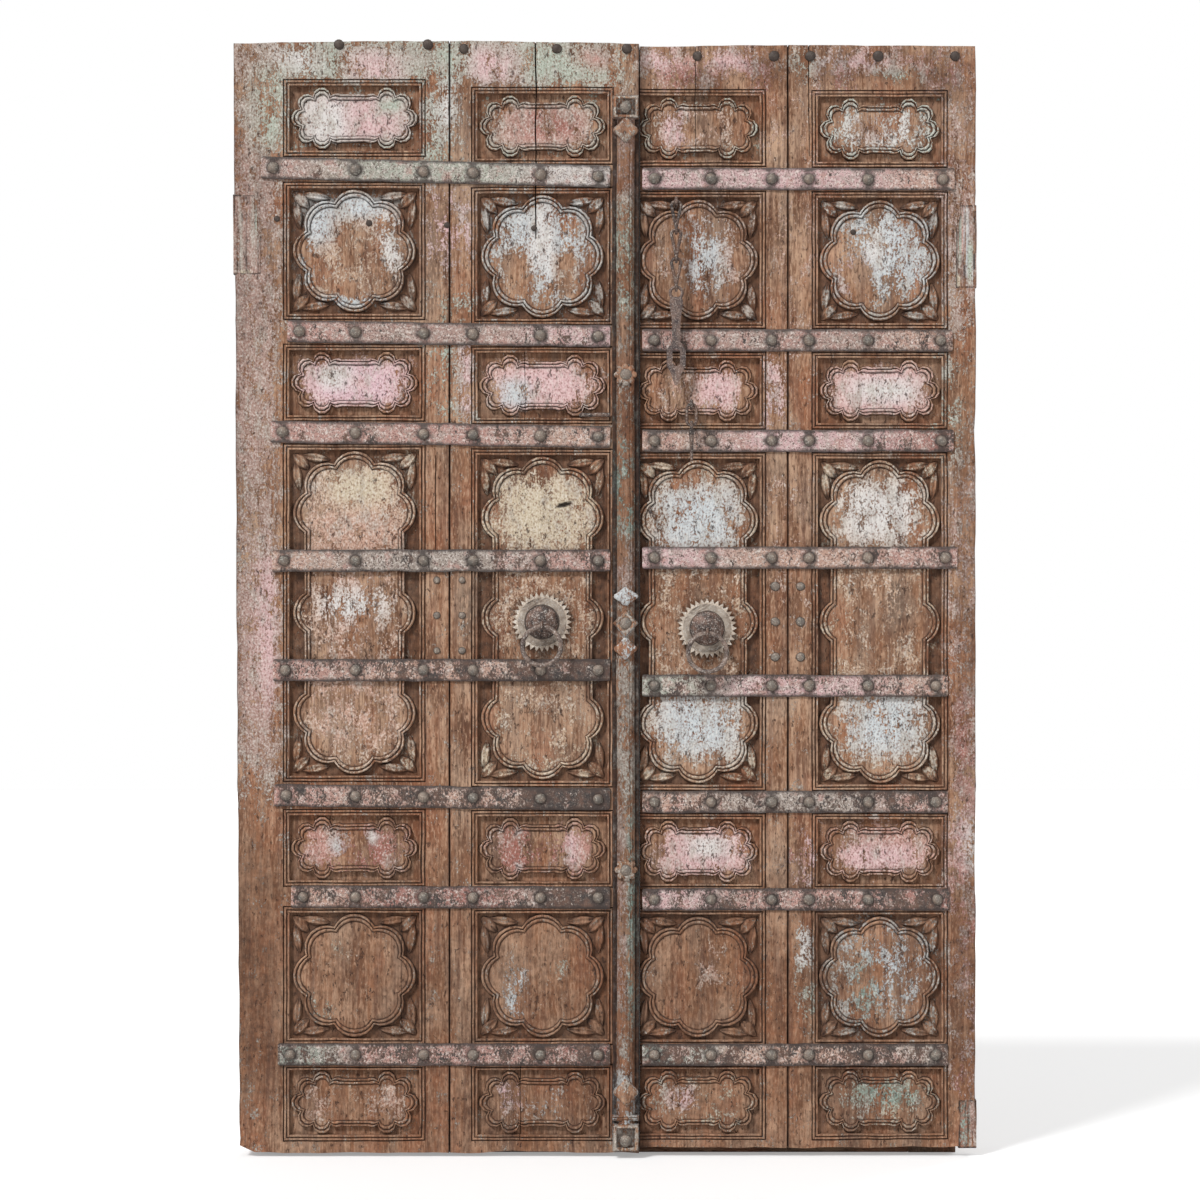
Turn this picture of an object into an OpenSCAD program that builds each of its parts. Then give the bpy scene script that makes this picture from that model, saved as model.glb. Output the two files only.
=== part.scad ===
// Old double door: two leaves of carved planks held by iron straps, on a plain timber frame.
// Millimetres. +Z is up, the carved front faces -Y, and the origin is the middle of the sill's underside.

/* [Leaves] */
// Width of the left leaf's outer plank
left_outer_w = 404; // [385:1:440]
// Width of the left leaf's meeting plank
left_meeting_w = 359; // [350:1:390]
// Width of the right leaf's meeting plank
right_meeting_w = 280; // [276:1:310]
// Width of the right leaf's outer plank
right_outer_w = 356; // [345:1:400]
// Thickness of the planks
leaf_t = 46; // [40:1:60]
// Height of the left leaf
left_leaf_h = 2110; // [2090:1:2200]
// Height of the right leaf
right_leaf_h = 2094; // [2080:1:2200]
// Height of the left leaf's foot above the floor
left_foot = 6; // [4:1:20]
// Height of the right leaf's foot above the floor
right_foot = 16; // [6:1:24]
// Open joint between the two planks of a leaf
joint_gap = 1.5; // [0.6:0.1:3]
// Open joint between the two leaves
meeting_gap = 2.5; // [2:0.1:6]

/* [Carved panels] */
// Width of the panels on the left leaf, over the border
left_panel_w = 272; // [250:1:280]
// Width of the panels on the right leaf, over the border
right_panel_w = 260; // [245:1:270]
// Height of the low panels, over the border
low_panel_h = 149; // [130:1:155]
// Height of the square panels, over the border
square_panel_h = 264; // [240:1:270]
// Width of the plain strip between the plank joint and the outer panels
outer_strip_w = 44; // [38:1:60]
// Width of the plain strip between the plank joint and the meeting panels
meeting_strip_w = 40; // [36:1:60]
// Height of the plain foot below the lowest panel of the left leaf
left_rail_h = 22; // [14:1:40]
// Height of the plain foot below the lowest panel of the right leaf
right_rail_h = 14; // [10:1:40]
// Plain bands between the panels of the left outer plank, from the foot up
left_outer_bands = [35, 36, 50, 40, 44, 46]; // [26:1:60]
// Plain bands between the panels of the left meeting plank, from the foot up
left_meeting_bands = [34, 35, 42, 45, 39, 41]; // [26:1:60]
// Plain bands between the panels of the right meeting plank, from the foot up
right_meeting_bands = [30, 32, 40, 42, 42, 44]; // [26:1:60]
// Plain bands between the panels of the right outer plank, from the foot up
right_outer_bands = [30, 32, 40, 42, 41, 43]; // [26:1:60]
// Plain bands above the uppermost panels: left outer, left meeting, right meeting and right outer plank
top_bands = [68, 83, 81, 83]; // [60:1:120]
// Width of the border round each panel
border_w = 13; // [10:0.5:18]
// Depth of the grooves in the border
border_groove_d = 3; // [1.5:0.5:5]
// Depth of the sunk ground behind the carving
ground_d = 10; // [6:0.5:14]
// Gap between the border and the lobes
lobe_gap = 1.6; // [1.2:0.1:4]
// Width of the rounded rim that follows the lobes
rim_w = 15; // [12:0.5:18]
// Depth of the groove along the rim
rim_groove_d = 3.5; // [2:0.5:6]
// Depth of the flat field inside the rim
field_d = 4; // [2:0.5:6]

/* [Iron straps] */
// Width of the straps
strap_w = 42; // [32:1:50]
// Thickness of the straps
strap_t = 4; // [3:0.5:6]
// Distance of each left strap's outer end from the leaf's edge, from the foot up
left_strap_start = [79, 104, 72, 70, 68, 65, 97, 47]; // [40:1:110]
// Distance of each right strap's outer end from the leaf's edge, from the foot up
right_strap_start = [53, 50, 53, 53, 35, 42, 44, 40]; // [30:1:110]
// How far the straps lean with the rows of panels
strap_follow = 0.75; // [0:0.05:1]
// Distance between the two left straps that cross the tall panels, as a share of the panels' height
left_cross_share = 0.3225; // [0.3:0.0005:0.38]
// Distance between the two right straps that cross the tall panels, as a share of the panels' height
right_cross_share = 0.3767; // [0.3:0.0005:0.4]
// Distance of the left leaf's inner studs from the plank joint: far and near outer, near and far meeting
left_stud_offsets = [178, 49, 45, 173]; // [30:1:190]
// Distance of the right leaf's inner studs from the plank joint: far and near outer, near and far meeting
right_stud_offsets = [152, 40, 31, 146]; // [30:1:190]
// Distance of the end studs from the strap's ends
stud_inset = 23; // [16:1:32]
// Radius of the stud heads
stud_r = 12.5; // [9:0.5:15]
// Height of the stud heads
stud_h = 9; // [6:0.5:12]
// Radius of the stud shanks
shank_r = 4; // [3:0.5:5]

/* [Nails] */
// Top nails across the left outer plank, as shares of its width from the outer side
left_outer_nails = [0.483, 0.901]; // [0.05:0.001:0.95]
// Top nails across the left meeting plank, as shares of its width from the outer side
left_meeting_nails = [0.074, 0.567, 0.937]; // [0.05:0.001:0.95]
// Top nails across the right meeting plank, as shares of its width from the outer side
right_meeting_nails = [0.091, 0.612]; // [0.05:0.001:0.95]
// Top nails across the right outer plank, as shares of its width from the outer side
right_outer_nails = [0.11, 0.52, 0.882]; // [0.05:0.001:0.95]
// Distance of the top nails below the leaf's upper edge
top_nail_drop = 13; // [11:0.5:30]
// Radius of the top nails' heads
top_nail_r = 9; // [6:0.5:11]
// Radius of the heads of the nails beside the plank joint
joint_nail_r = 5.5; // [4:0.5:8]
// Distance of the nails beside the plank joint from it
joint_nail_x = 24; // [18:1:30]
// Spacing of the nails beside the plank joint
joint_nail_pitch = 67; // [40:1:70]

/* [Astragal] */
// Width of the astragal
astragal_w = 50; // [44:1:56]
// Height of the astragal's base strip
astragal_base_h = 10; // [6:0.5:14]
// Radius of the astragal's round
astragal_r = 17; // [14:0.5:19]
// Distance of the astragal's upper end below the left leaf's upper edge
astragal_drop = 103; // [40:1:150]
// Half diagonal of the carved diamonds
diamond_r = 21; // [15:0.5:23]
// Radius of the astragal nails' heads
astragal_nail_r = 12; // [8:0.5:14]

/* [Ring pulls] */
// Drop of the pull plates' middles below the middle of the tall panels
pull_drop = 12.5; // [0:0.5:25]
// Distance of the left pull from the leaf's meeting edge
left_pull_x = 184; // [150:1:200]
// Distance of the right pull from the leaf's meeting edge
right_pull_x = 127; // [110:1:150]
// Outer radius of the toothed plate
plate_r = 57; // [50:1:60]
// Number of teeth round the plate
teeth = 32; // [20:1:40]
// Depth of the teeth
tooth_d = 6; // [3:0.5:8]
// Thickness of the plate
plate_t = 3; // [2:0.5:4]
// Radius of the domed boss
boss_r = 31; // [26:1:36]
// Height of the domed boss
boss_h = 16; // [12:1:18]
// Drop of the staple below the plate's middle
staple_drop = 9; // [4:1:12]
// Outer radius of the ring
ring_r = 41; // [36:1:46]
// Radius of the ring's wire
ring_wire_r = 4.5; // [3.5:0.1:5]
// Distance of the hanging ring from the planks
ring_stand = 32; // [30:1:40]

/* [Chain and hasp] */
// Drop of the chain's staple below the right leaf's upper edge
chain_drop = 298; // [280:1:310]
// Distance of the chain from the right leaf's meeting edge
chain_x = 68; // [58:1:80]
// Distance of the hanging chain from the planks
chain_stand = 26; // [24:1:34]
// Length from one chain link's pivot to the next
link_pitch = 54; // [48:1:60]
// Radius of the chain's wire
wire_r = 3; // [2.5:0.1:3.4]
// Radius of each link's bow, to the wire's middle
bow_r = 9; // [8:0.5:11]
// Radius of the hasp's eye, to the wire's middle
hasp_eye_r = 11.5; // [10:0.5:13]
// Length of the hasp from its pivot to its tip
hasp_l = 186; // [175:1:200]
// Thickness of the hasp
hasp_t = 6; // [4:0.5:7]
// Width of the hasp round its slot
hasp_w = 36; // [32:1:40]
// Width of the hasp's slot
slot_w = 14; // [10:0.5:16]
// Length of the hasp's slot
slot_l = 34; // [28:1:40]
// Drop of the locking pin's staple below the right leaf's upper edge
pin_drop = 682; // [670:1:690]
// Distance of the locking pin from the right leaf's meeting edge
pin_x = 97; // [94:1:104]
// Length of the link that carries the locking pin
pin_link_l = 40; // [34:1:46]
// Length of the locking pin from its pivot
pin_l = 68; // [55:1:75]

/* [Catch bar and patches] */
// Length of the iron catch bar on the left leaf
catch_l = 58; // [40:1:62]
// Radius of the iron catch bar
catch_r = 4; // [3:0.5:5]
// Depth of the repair patches in the planks
patch_d = 30; // [20:1:34]
// Width of the left patch
left_patch_w = 42; // [30:1:44]
// Width of the right leaf's upper patch
upper_patch_w = 36; // [25:1:38]
// Width of the right leaf's lower patch
lower_patch_w = 33; // [25:1:40]

/* [Frame and hinges] */
// Drop of the frame's upper face below the right leaf's upper edge
frame_drop = 22; // [15:1:50]
// Depth of the frame
frame_d = 80; // [70:1:110]
// Width of the jambs
jamb_w = 90; // [75:1:110]
// Height of the head
head_h = 90; // [70:1:110]
// Height of the sill
sill_h = 60; // [50:1:80]
// Distance of the jambs' outer faces inside the leaves' outer edges
frame_inset = 33; // [32:0.5:38]
// Distance of the hinge axes inside the leaves' outer edges
pivot_in = 16; // [15:0.5:17]
// Distance of the hinge axes behind the planks
pivot_back = 20; // [19:0.5:24]
// Radius of the pintles
pintle_r = 6; // [5:0.5:7]
// Width of the hinge straps
hinge_w = 40; // [34:1:50]
// Thickness of the hinge straps
hinge_t = 5; // [4:0.5:6]
// Length of the hinge straps from the axis
hinge_l = 358; // [352:1:360]
// Height of the ledges on the leaves' backs
ledge_h = 62; // [50:1:80]
// Thickness of the ledges
ledge_t = 36; // [28:1:45]
// Radius of the wall bolt holes in the jambs
bolt_r = 5.5; // [4:0.5:7]
// Height of the lower wall bolt holes above the floor
bolt_low = 290; // [240:1:340]
// Drop of the upper wall bolt holes below the frame's upper face
bolt_drop = 298; // [270:1:340]
// Radius of the wooden pegs in the frame
peg_r = 7; // [5:0.5:9]

/* [Part to draw] */
// Node to draw, or all of them

/* [Hidden] */
// Smoothness of round shapes
$fn = 48;
// Extra length of a cut past the surface
over = 1;
// Room round a nail or a staple leg in its hole
nail_room = 0.15;
// Room round a patch or a tenon in its seat
seat_room = 0.2;
// Room round a pintle in its eye
pintle_room = 0.08;
// Room between the eye and the pintle's collar
collar_room = 0.3;
// Room round a hanging wire in its eye
eye_room = 0.6;
// Room between the hinge straps and the jambs
jamb_room = 1;
// Room between the ledges and the jambs
ledge_room = 14;
// Room between the ledges' inner ends and the leaf's meeting edge
ledge_end_room = 8;
// Room between the straps and the astragal or the meeting edge
strap_room = 4;
// Thickness of the clenched ends behind the ledges
clench_t = 3;
// Radius of the clenched ends
clench_r = 7;
// Length of nails that end inside the wood
blind_l = 30;
// Wood and iron colours
wood_colour = [0.52, 0.38, 0.28];
pale_wood_colour = [0.66, 0.55, 0.44];
paint_colour = [0.66, 0.58, 0.54];
iron_colour = [0.3, 0.28, 0.27];
plate_colour = [0.5, 0.5, 0.46];

door_w = left_outer_w + left_meeting_w + right_meeting_w + right_outer_w + 2 * joint_gap + meeting_gap;
left_edge = -door_w / 2;
left_joint = left_edge + left_outer_w;
left_meet = left_joint + joint_gap + left_meeting_w;
right_meet = left_meet + meeting_gap;
right_joint = right_meet + right_meeting_w;
right_edge = right_joint + joint_gap + right_outer_w;

// Faces of the frame and the leaves along Y
frame_front = -frame_d / 2;
leaf_back = frame_front - hinge_t - jamb_room;
leaf_front = leaf_back - leaf_t;
pivot_y = leaf_back + pivot_back;

// Values by plank: left outer, left meeting, right meeting, right outer
plank_x = [left_edge, left_joint + joint_gap, right_meet, right_joint + joint_gap];
plank_w = [left_outer_w, left_meeting_w, right_meeting_w, right_outer_w];
plank_foot = [left_foot, left_foot, right_foot, right_foot];
plank_h = [left_leaf_h, left_leaf_h, right_leaf_h, right_leaf_h];
plank_rail = [left_rail_h, left_rail_h, right_rail_h, right_rail_h];
panel_w = [left_panel_w, left_panel_w, right_panel_w, right_panel_w];
column_x = [
  left_joint - outer_strip_w - left_panel_w / 2,
  left_joint + joint_gap + meeting_strip_w + left_panel_w / 2,
  right_joint - meeting_strip_w - right_panel_w / 2,
  right_joint + joint_gap + outer_strip_w + right_panel_w / 2
];
bands = [left_outer_bands, left_meeting_bands, right_meeting_bands, right_outer_bands];

// Rows of panels from the foot up: 0 is a low panel, 1 a square one, 2 a tall one
row_kind = [0, 1, 0, 2, 0, 1, 0];
function band_sum(p, b) = b < 0 ? top_bands[p] : bands[p][b] + band_sum(p, b - 1);
// The tall panel takes the height that the other panels and the bands leave
function tall_h(p) = plank_h[p] - plank_rail[p] - 4 * low_panel_h - 2 * square_panel_h - band_sum(p, 5);
function panel_h(p, k) = k == 0 ? low_panel_h : k == 1 ? square_panel_h : tall_h(p);
function row_foot(p, r) =
  r == 0
  ? plank_foot[p] + plank_rail[p]
  : row_foot(p, r - 1) + panel_h(p, row_kind[r - 1]) + bands[p][r - 1];
function row_z(p, r) = row_foot(p, r) + panel_h(p, row_kind[r]) / 2;
function band_z(p, b) = row_foot(p, b) + panel_h(p, row_kind[b]) + bands[p][b] / 2;

// Values by leaf: 0 is the left one, 1 the right one
side = [-1, 1];
outer_plank = [0, 3];
meeting_plank = [1, 2];
joint_x = [left_joint + joint_gap / 2, right_joint + joint_gap / 2];
leaf_edge = [left_edge, right_edge];
strap_start = [left_strap_start, right_strap_start];
stud_offsets = [left_stud_offsets, right_stud_offsets];
cross_share = [left_cross_share, right_cross_share];
strap_end = [left_meet - astragal_w - strap_room, right_meet + strap_room];
ledge_end = [left_meet - ledge_end_room, right_meet + ledge_end_room];
pivot_x = [left_edge + pivot_in, right_edge - pivot_in];
jamb_outer = door_w / 2 - frame_inset;
jamb_inner = jamb_outer - jamb_w;
leaf_top = [left_foot + left_leaf_h, right_foot + right_leaf_h];
pull_x = [left_meet - left_pull_x, right_meet + right_pull_x];
frame_h = leaf_top[1] - frame_drop;
chain_z = leaf_top[1] - chain_drop;
pin_z = leaf_top[1] - pin_drop;
nail_shares = [left_outer_nails, left_meeting_nails, right_meeting_nails, right_outer_nails];

// Straps from the foot up: some have a ledge behind them, the others a hinge strap
ledge_rows = [1, 2, 4, 5, 6];
hinge_rows = [0, 3, 7];
function tall_z(l) = (row_z(outer_plank[l], 3) + row_z(meeting_plank[l], 3)) / 2;
pull_z = [tall_z(0) - pull_drop, tall_z(1) - pull_drop];
// The two straps stay clear of the pull plate between them
function cross_gap(l) =
  max(cross_share[l] * tall_h(outer_plank[l]), 2 * (plate_r + pull_drop + strap_w / 2 + strap_room));
function strap_at(l, p, i) =
  i < 3 ? band_z(p, i)
  : i > 4 ? band_z(p, i - 2)
  : tall_z(l) + (i - 3.5) * cross_gap(l);
function strap_slope(l, i) =
  strap_follow * (strap_at(l, meeting_plank[l], i) - strap_at(l, outer_plank[l], i))
  / (column_x[meeting_plank[l]] - column_x[outer_plank[l]]);
function strap_z(l, i, x) =
  (strap_at(l, outer_plank[l], i) + strap_at(l, meeting_plank[l], i)) / 2
  + strap_slope(l, i) * (x - (column_x[outer_plank[l]] + column_x[meeting_plank[l]]) / 2);
function strap_out(l, i) = leaf_edge[l] - side[l] * strap_start[l][i];
function hinge_z(l, i) = strap_z(l, i, column_x[outer_plank[l]]);
function stud_x(l, i, k) =
  k == 0 ? strap_out(l, i) - side[l] * stud_inset
  : k == 5 ? strap_end[l] + side[l] * stud_inset
  : k < 3 ? joint_x[l] + side[l] * stud_offsets[l][k - 1]
  : joint_x[l] - side[l] * stud_offsets[l][k - 1];
function in_list(v, list) = len([for (a = list) if (a == v) a]) > 0;
function under_hinge(l, i, k) =
  in_list(i, hinge_rows) && side[l] * (stud_x(l, i, k) - pivot_x[l]) > clench_r - hinge_l;
// Where a stud ends behind the plank's back face; below zero it ends inside the wood
function stud_reach(l, i, k) =
  k == 0 ? blind_l - leaf_t
  : in_list(i, ledge_rows) ? ledge_t
  : under_hinge(l, i, k) ? hinge_t
  : 0;

// Outlines of the carving
lobe_ring = 0.627;
lobe_size = 0.373;
lobe_core = 0.75;
flower_ring = 0.705;
flower_size = 0.295;
flower_core = 0.7;
waist = 0.76;
tall_waist = 0.815;
function ground_w(p) = panel_w[p] - 2 * border_w;
function ground_h(p, k) = panel_h(p, k) - 2 * border_w;
function rosette_r(p) = min(ground_w(p), ground_h(p, 1)) / 2 - lobe_gap;
function flower_r(p) = ground_h(p, 0) / 2 - lobe_gap;

module rosette(r, ring, size, core) {
  circle(core * r);
  for (a = [0:45:315]) {
    rotate(a)
      translate([ring * r, 0])
        circle(size * r);
  }
}

module low_outline(p, inset) {
  r = flower_r(p) - inset;
  reach = ground_w(p) / 2 - lobe_gap - flower_r(p);
  for (s = [-1, 1]) {
    translate([s * reach, 0])
      rosette(r, flower_ring, flower_size, flower_core);
  }
  square([2 * reach, 2 * waist * r], center = true);
}

module tall_outline(p, inset) {
  r = rosette_r(p) - inset;
  reach = ground_h(p, 2) / 2 - lobe_gap - rosette_r(p);
  for (s = [-1, 1]) {
    translate([0, s * reach])
      rosette(r, lobe_ring, lobe_size, lobe_core);
    translate([s * lobe_ring * r, 0])
      circle(lobe_size * r);
  }
  square([2 * tall_waist * r, 2 * reach], center = true);
}

module outline(p, k, inset) {
  if (k == 0) {
    low_outline(p, inset);
  }
  if (k == 1) {
    rosette(rosette_r(p) - inset, lobe_ring, lobe_size, lobe_core);
  }
  if (k == 2) {
    tall_outline(p, inset);
  }
}

// A pointed leaf along +X
module leaf(l, w) {
  r = (l * l + w * w) / (4 * w);
  translate([l / 2, 0])
    intersection() {
      translate([0, r - w / 2])
        circle(r);
      translate([0, w / 2 - r])
        circle(r);
    }
}

// Lengths and widths of the leaves in a panel's corner, and their distances from it
mid_leaf_l = 34;
mid_leaf_w = 13;
side_leaf_l = 52;
side_leaf_w = 11;
leaf_in = 9;
leaf_along = 13;
// Three leaves in a panel's corner, which lies at the origin
module sprig() {
  rotate(45)
    translate([leaf_in, 0])
      leaf(mid_leaf_l, mid_leaf_w);
  translate([leaf_along, leaf_in])
    rotate(3)
      leaf(side_leaf_l, side_leaf_w);
  translate([leaf_in, leaf_along])
    rotate(87)
      leaf(side_leaf_l, side_leaf_w);
}

module sprigs(w, h) {
  for (sx = [0, 1]) {
    for (sy = [0, 1]) {
      mirror([sx, 0])
        mirror([0, sy])
          translate([w / 2, h / 2])
            rotate(180)
              sprig();
    }
  }
}

// Cuts a flat shape of X and Z into the plank's front, to a depth
module front_cut(x, z, depth) {
  translate([x, leaf_front + depth, z])
    rotate([90, 0, 0])
      linear_extrude(depth + over)
        children();
}

module panel_cut(p, r) {
  k = row_kind[r];
  x = column_x[p];
  z = row_z(p, r);
  w = panel_w[p];
  h = panel_h(p, k);
  gw = ground_w(p);
  gh = ground_h(p, k);
  front_cut(x, z, ground_d)
    difference() {
      square([gw, gh], center = true);
      outline(p, k, 0);
      if (k > 0) {
        sprigs(gw, gh);
      }
    }
  front_cut(x, z, rim_groove_d)
    difference() {
      outline(p, k, rim_w * 0.42);
      outline(p, k, rim_w * 0.6);
    }
  front_cut(x, z, field_d)
    outline(p, k, rim_w);
  for (s = [0, 0.5]) {
    front_cut(x, z, border_groove_d)
      difference() {
        square([w - 2 * s * border_w, h - 2 * s * border_w], center = true);
        square([w - 2 * (s + 0.2) * border_w, h - 2 * (s + 0.2) * border_w], center = true);
      }
  }
}

// A round nail along Y with its head's flat at the origin, facing -Y
module nail(r, h, l, clench) {
  dome_r = (r * r + h * h) / (2 * h);
  rotate([90, 0, 0])
    rotate_extrude() {
      intersection() {
        translate([0, h - dome_r])
          circle(dome_r, $fn = 64);
        square([r, h]);
      }
      translate([0, -l])
        square([shank_r, l + h / 2]);
      if (clench) {
        translate([0, -l - clench_t])
          square([clench_r, clench_t]);
      }
    }
}

module hole(x, y, z, r, l) {
  translate([x, y, z])
    rotate([-90, 0, 0])
      cylinder(r = r, h = l);
}

module stud_holes(l, i, y, length, first) {
  for (k = [first:5]) {
    hole(stud_x(l, i, k), y, strap_z(l, i, stud_x(l, i, k)), shank_r + nail_room, length);
  }
}

// Calls its children at each face nail of a leaf, with $nail_head as the head's radius
module at_nails(l) {
  for (p = [outer_plank[l], meeting_plank[l]]) {
    for (share = nail_shares[p]) {
      $nail_head = top_nail_r;
      x = plank_x[p] + (l == 0 ? share : 1 - share) * plank_w[p];
      translate([x, leaf_front, leaf_top[l] - top_nail_drop])
        children();
    }
  }
  for (s = [-1, 1]) {
    for (n = [-1:1]) {
      $nail_head = joint_nail_r;
      translate([joint_x[l] + s * joint_nail_x, leaf_front, tall_z(l) + n * joint_nail_pitch])
        children();
    }
  }
}

// Patches by number: left, right upper, right lower
patch_leaf = [0, 1, 1];
patch_w = [left_patch_w, upper_patch_w, lower_patch_w];
patch_drop = [440, 460];
patch_z = [leaf_top[0] - patch_drop[0], leaf_top[1] - patch_drop[1], right_foot];
patch_h = [152, 158, 92];
module patch_block(n, room) {
  l = patch_leaf[n];
  w = patch_w[n] + room;
  translate([l == 0 ? left_edge - room : right_edge - w, leaf_front - room, patch_z[n] - room])
    cube([w + room, patch_d + 2 * room, patch_h[n] + 2 * room]);
}

staple_in = [ring_wire_r + eye_room, wire_r + eye_room];
module staple_holes(x, z, inner, wire) {
  for (s = [-1, 1]) {
    hole(x, leaf_front - over, z + s * (inner + wire), wire + nail_room, leaf_t + 2 * over);
  }
}

// A staple with its loop's middle at the origin and its two legs along +Y
module staple(inner, wire, stand) {
  rotate([0, 90, 0])
    rotate([0, 0, 180])
      rotate_extrude(angle = 180)
        translate([inner + wire, 0])
          circle(wire, $fn = 32);
  for (s = [-1, 1]) {
    hole(0, 0, s * (inner + wire), wire, stand + leaf_t);
  }
}

chain_at_x = right_meet + chain_x;
pin_at_x = right_meet + pin_x;
broken_x = right_meet + 18;
broken_drop = 878;
broken_z = leaf_top[1] - broken_drop;
catch_drop = 707;
catch_z = leaf_top[0] - catch_drop;
catch_x = left_meet - astragal_w - strap_room;
astragal_x = left_meet - astragal_w / 2;
astragal_lift = 8;
astragal_foot = left_foot + astragal_lift;
astragal_up = leaf_top[0] - astragal_drop;
astragal_span = astragal_up - astragal_foot;
astragal_mid = (astragal_foot + astragal_up) / 2;
// The carved discs, as shares of the astragal's length from its middle
disc_share = [-0.2335, 0.2355];
disc_z = [for (s = disc_share) astragal_mid + s * astragal_span];
foot_nail_up = 21;
top_nail_down = 23;
astragal_nail_z = [
  astragal_foot + foot_nail_up, disc_z[0], astragal_mid, disc_z[1], astragal_up - top_nail_down
];

module plank(p) {
  l = p < 2 ? 0 : 1;
  lo = plank_x[p];
  hi = plank_x[p] + plank_w[p];
  difference() {
    translate([lo, leaf_front, plank_foot[p]])
      cube([plank_w[p], leaf_t, plank_h[p]]);
    for (r = [0:6]) {
      panel_cut(p, r);
    }
    for (i = [0:7]) {
      for (k = [0:5]) {
        x = stud_x(l, i, k);
        if (x > lo && x < hi) {
          hole(x, leaf_front - over, strap_z(l, i, x), shank_r + nail_room,
            (k == 0 ? blind_l + nail_room : leaf_t + over) + over);
        }
      }
    }
    intersection() {
      at_nails(l)
        rotate([-90, 0, 0])
          translate([0, 0, -over])
            cylinder(r = shank_r + nail_room, h = blind_l + over + nail_room);
      translate([lo, leaf_front - 2 * over, 0])
        cube([plank_w[p], leaf_t, plank_h[p] + plank_foot[p]]);
    }
    if (p == 0) {
      patch_block(0, seat_room);
    }
    if (p == 1) {
      staple_holes(pull_x[0], pull_z[0] - staple_drop, staple_in[0], wire_r);
      hole(catch_x - catch_l + catch_r, leaf_front - over, catch_z, catch_r + nail_room, blind_l + over);
      for (z = astragal_nail_z) {
        hole(astragal_x, leaf_front - over, z, shank_r + nail_room, blind_l + over + nail_room);
      }
    }
    if (p == 2) {
      staple_holes(pull_x[1], pull_z[1] - staple_drop, staple_in[0], wire_r);
      staple_holes(chain_at_x, chain_z, staple_in[1], wire_r);
      staple_holes(pin_at_x, pin_z, staple_in[1], wire_r);
      hole(broken_x, leaf_front - over, broken_z, wire_r + nail_room, blind_l + over);
    }
    if (p == 3) {
      patch_block(1, seat_room);
      patch_block(2, seat_room);
    }
  }
}

module patch(n) {
  color(pale_wood_colour)
    patch_block(n, 0);
}

module strap(l, i) {
  x0 = strap_out(l, i);
  x1 = strap_end[l];
  mid = (x0 + x1) / 2;
  length = abs(x1 - x0);
  color(paint_colour)
    difference() {
      translate([mid, leaf_front, strap_z(l, i, mid)])
        rotate([0, -atan(strap_slope(l, i)), 0])
          translate([-length / 2, -strap_t, -strap_w / 2])
            cube([length, strap_t, strap_w]);
      stud_holes(l, i, leaf_front - strap_t - over, strap_t + 2 * over, 0);
    }
}

module studs(l) {
  color(iron_colour)
    for (i = [0:7]) {
      for (k = [0:5]) {
        x = stud_x(l, i, k);
        translate([x, leaf_front - strap_t, strap_z(l, i, x)])
          nail(stud_r, stud_h, strap_t + leaf_t + stud_reach(l, i, k), k > 0);
      }
    }
}

module nails(l) {
  color(iron_colour)
    at_nails(l)
      nail($nail_head, $nail_head * 0.55, blind_l, false);
}

module ledges(l) {
  out = side[l] * (jamb_inner - ledge_room);
  length = abs(ledge_end[l] - out);
  color(wood_colour)
    for (i = ledge_rows) {
      mid = (out + ledge_end[l]) / 2;
      difference() {
        translate([mid - length / 2, leaf_back, strap_z(l, i, mid) - ledge_h / 2])
          cube([length, ledge_t, ledge_h]);
        stud_holes(l, i, leaf_back - over, ledge_t + 2 * over, 1);
      }
    }
}

eye_r = pintle_r + 5;
module hinge_strap(l, i) {
  x = pivot_x[l];
  z = hinge_z(l, i) - hinge_w / 2;
  difference() {
    union() {
      translate([l == 0 ? x - 9 : x - hinge_l, leaf_back, z])
        cube([hinge_l + 9, hinge_t, hinge_w]);
      translate([x - 9, leaf_back, z])
        cube([18, pivot_back - 5, hinge_w]);
      translate([x, pivot_y, z])
        cylinder(r = eye_r, h = hinge_w);
    }
    translate([x, pivot_y, z - over])
      cylinder(r = pintle_r + pintle_room, h = hinge_w + 2 * over);
    for (k = [1:5]) {
      if (under_hinge(l, i, k)) {
        hole(stud_x(l, i, k), leaf_back - over, strap_z(l, i, stud_x(l, i, k)),
          shank_r + nail_room, hinge_t + 2 * over);
      }
    }
  }
}

module hinge_straps(l) {
  color(iron_colour)
    for (i = hinge_rows) {
      hinge_strap(l, i);
    }
}

collar_h = 18;
collar_r = pintle_r + 4;
shank_in = 58;
spike_r = 5;
function spike_z(l, i) = hinge_z(l, i) - hinge_w / 2 - collar_room - collar_h / 2;

module pintles(l) {
  reach = frame_inset - pivot_in + shank_in - nail_room;
  color(iron_colour)
    for (i = hinge_rows) {
      translate([pivot_x[l], pivot_y, spike_z(l, i)]) {
        translate([0, 0, -collar_h / 2])
          cylinder(r = collar_r, h = collar_h);
        cylinder(r = pintle_r, h = collar_h / 2 + collar_room + hinge_w + 6);
        rotate([0, l == 0 ? 90 : -90, 0])
          cylinder(r = spike_r, h = reach);
      }
    }
}

tenon_l = 50;
tenon_t = 28;
tenon_cut = 12;
module bar_tenons(z, h) {
  for (s = [-1, 1]) {
    translate([s < 0 ? -jamb_inner - tenon_l : jamb_inner - over, -tenon_t / 2, z + tenon_cut])
      cube([tenon_l + over, tenon_t, h - 2 * tenon_cut]);
  }
}

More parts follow.
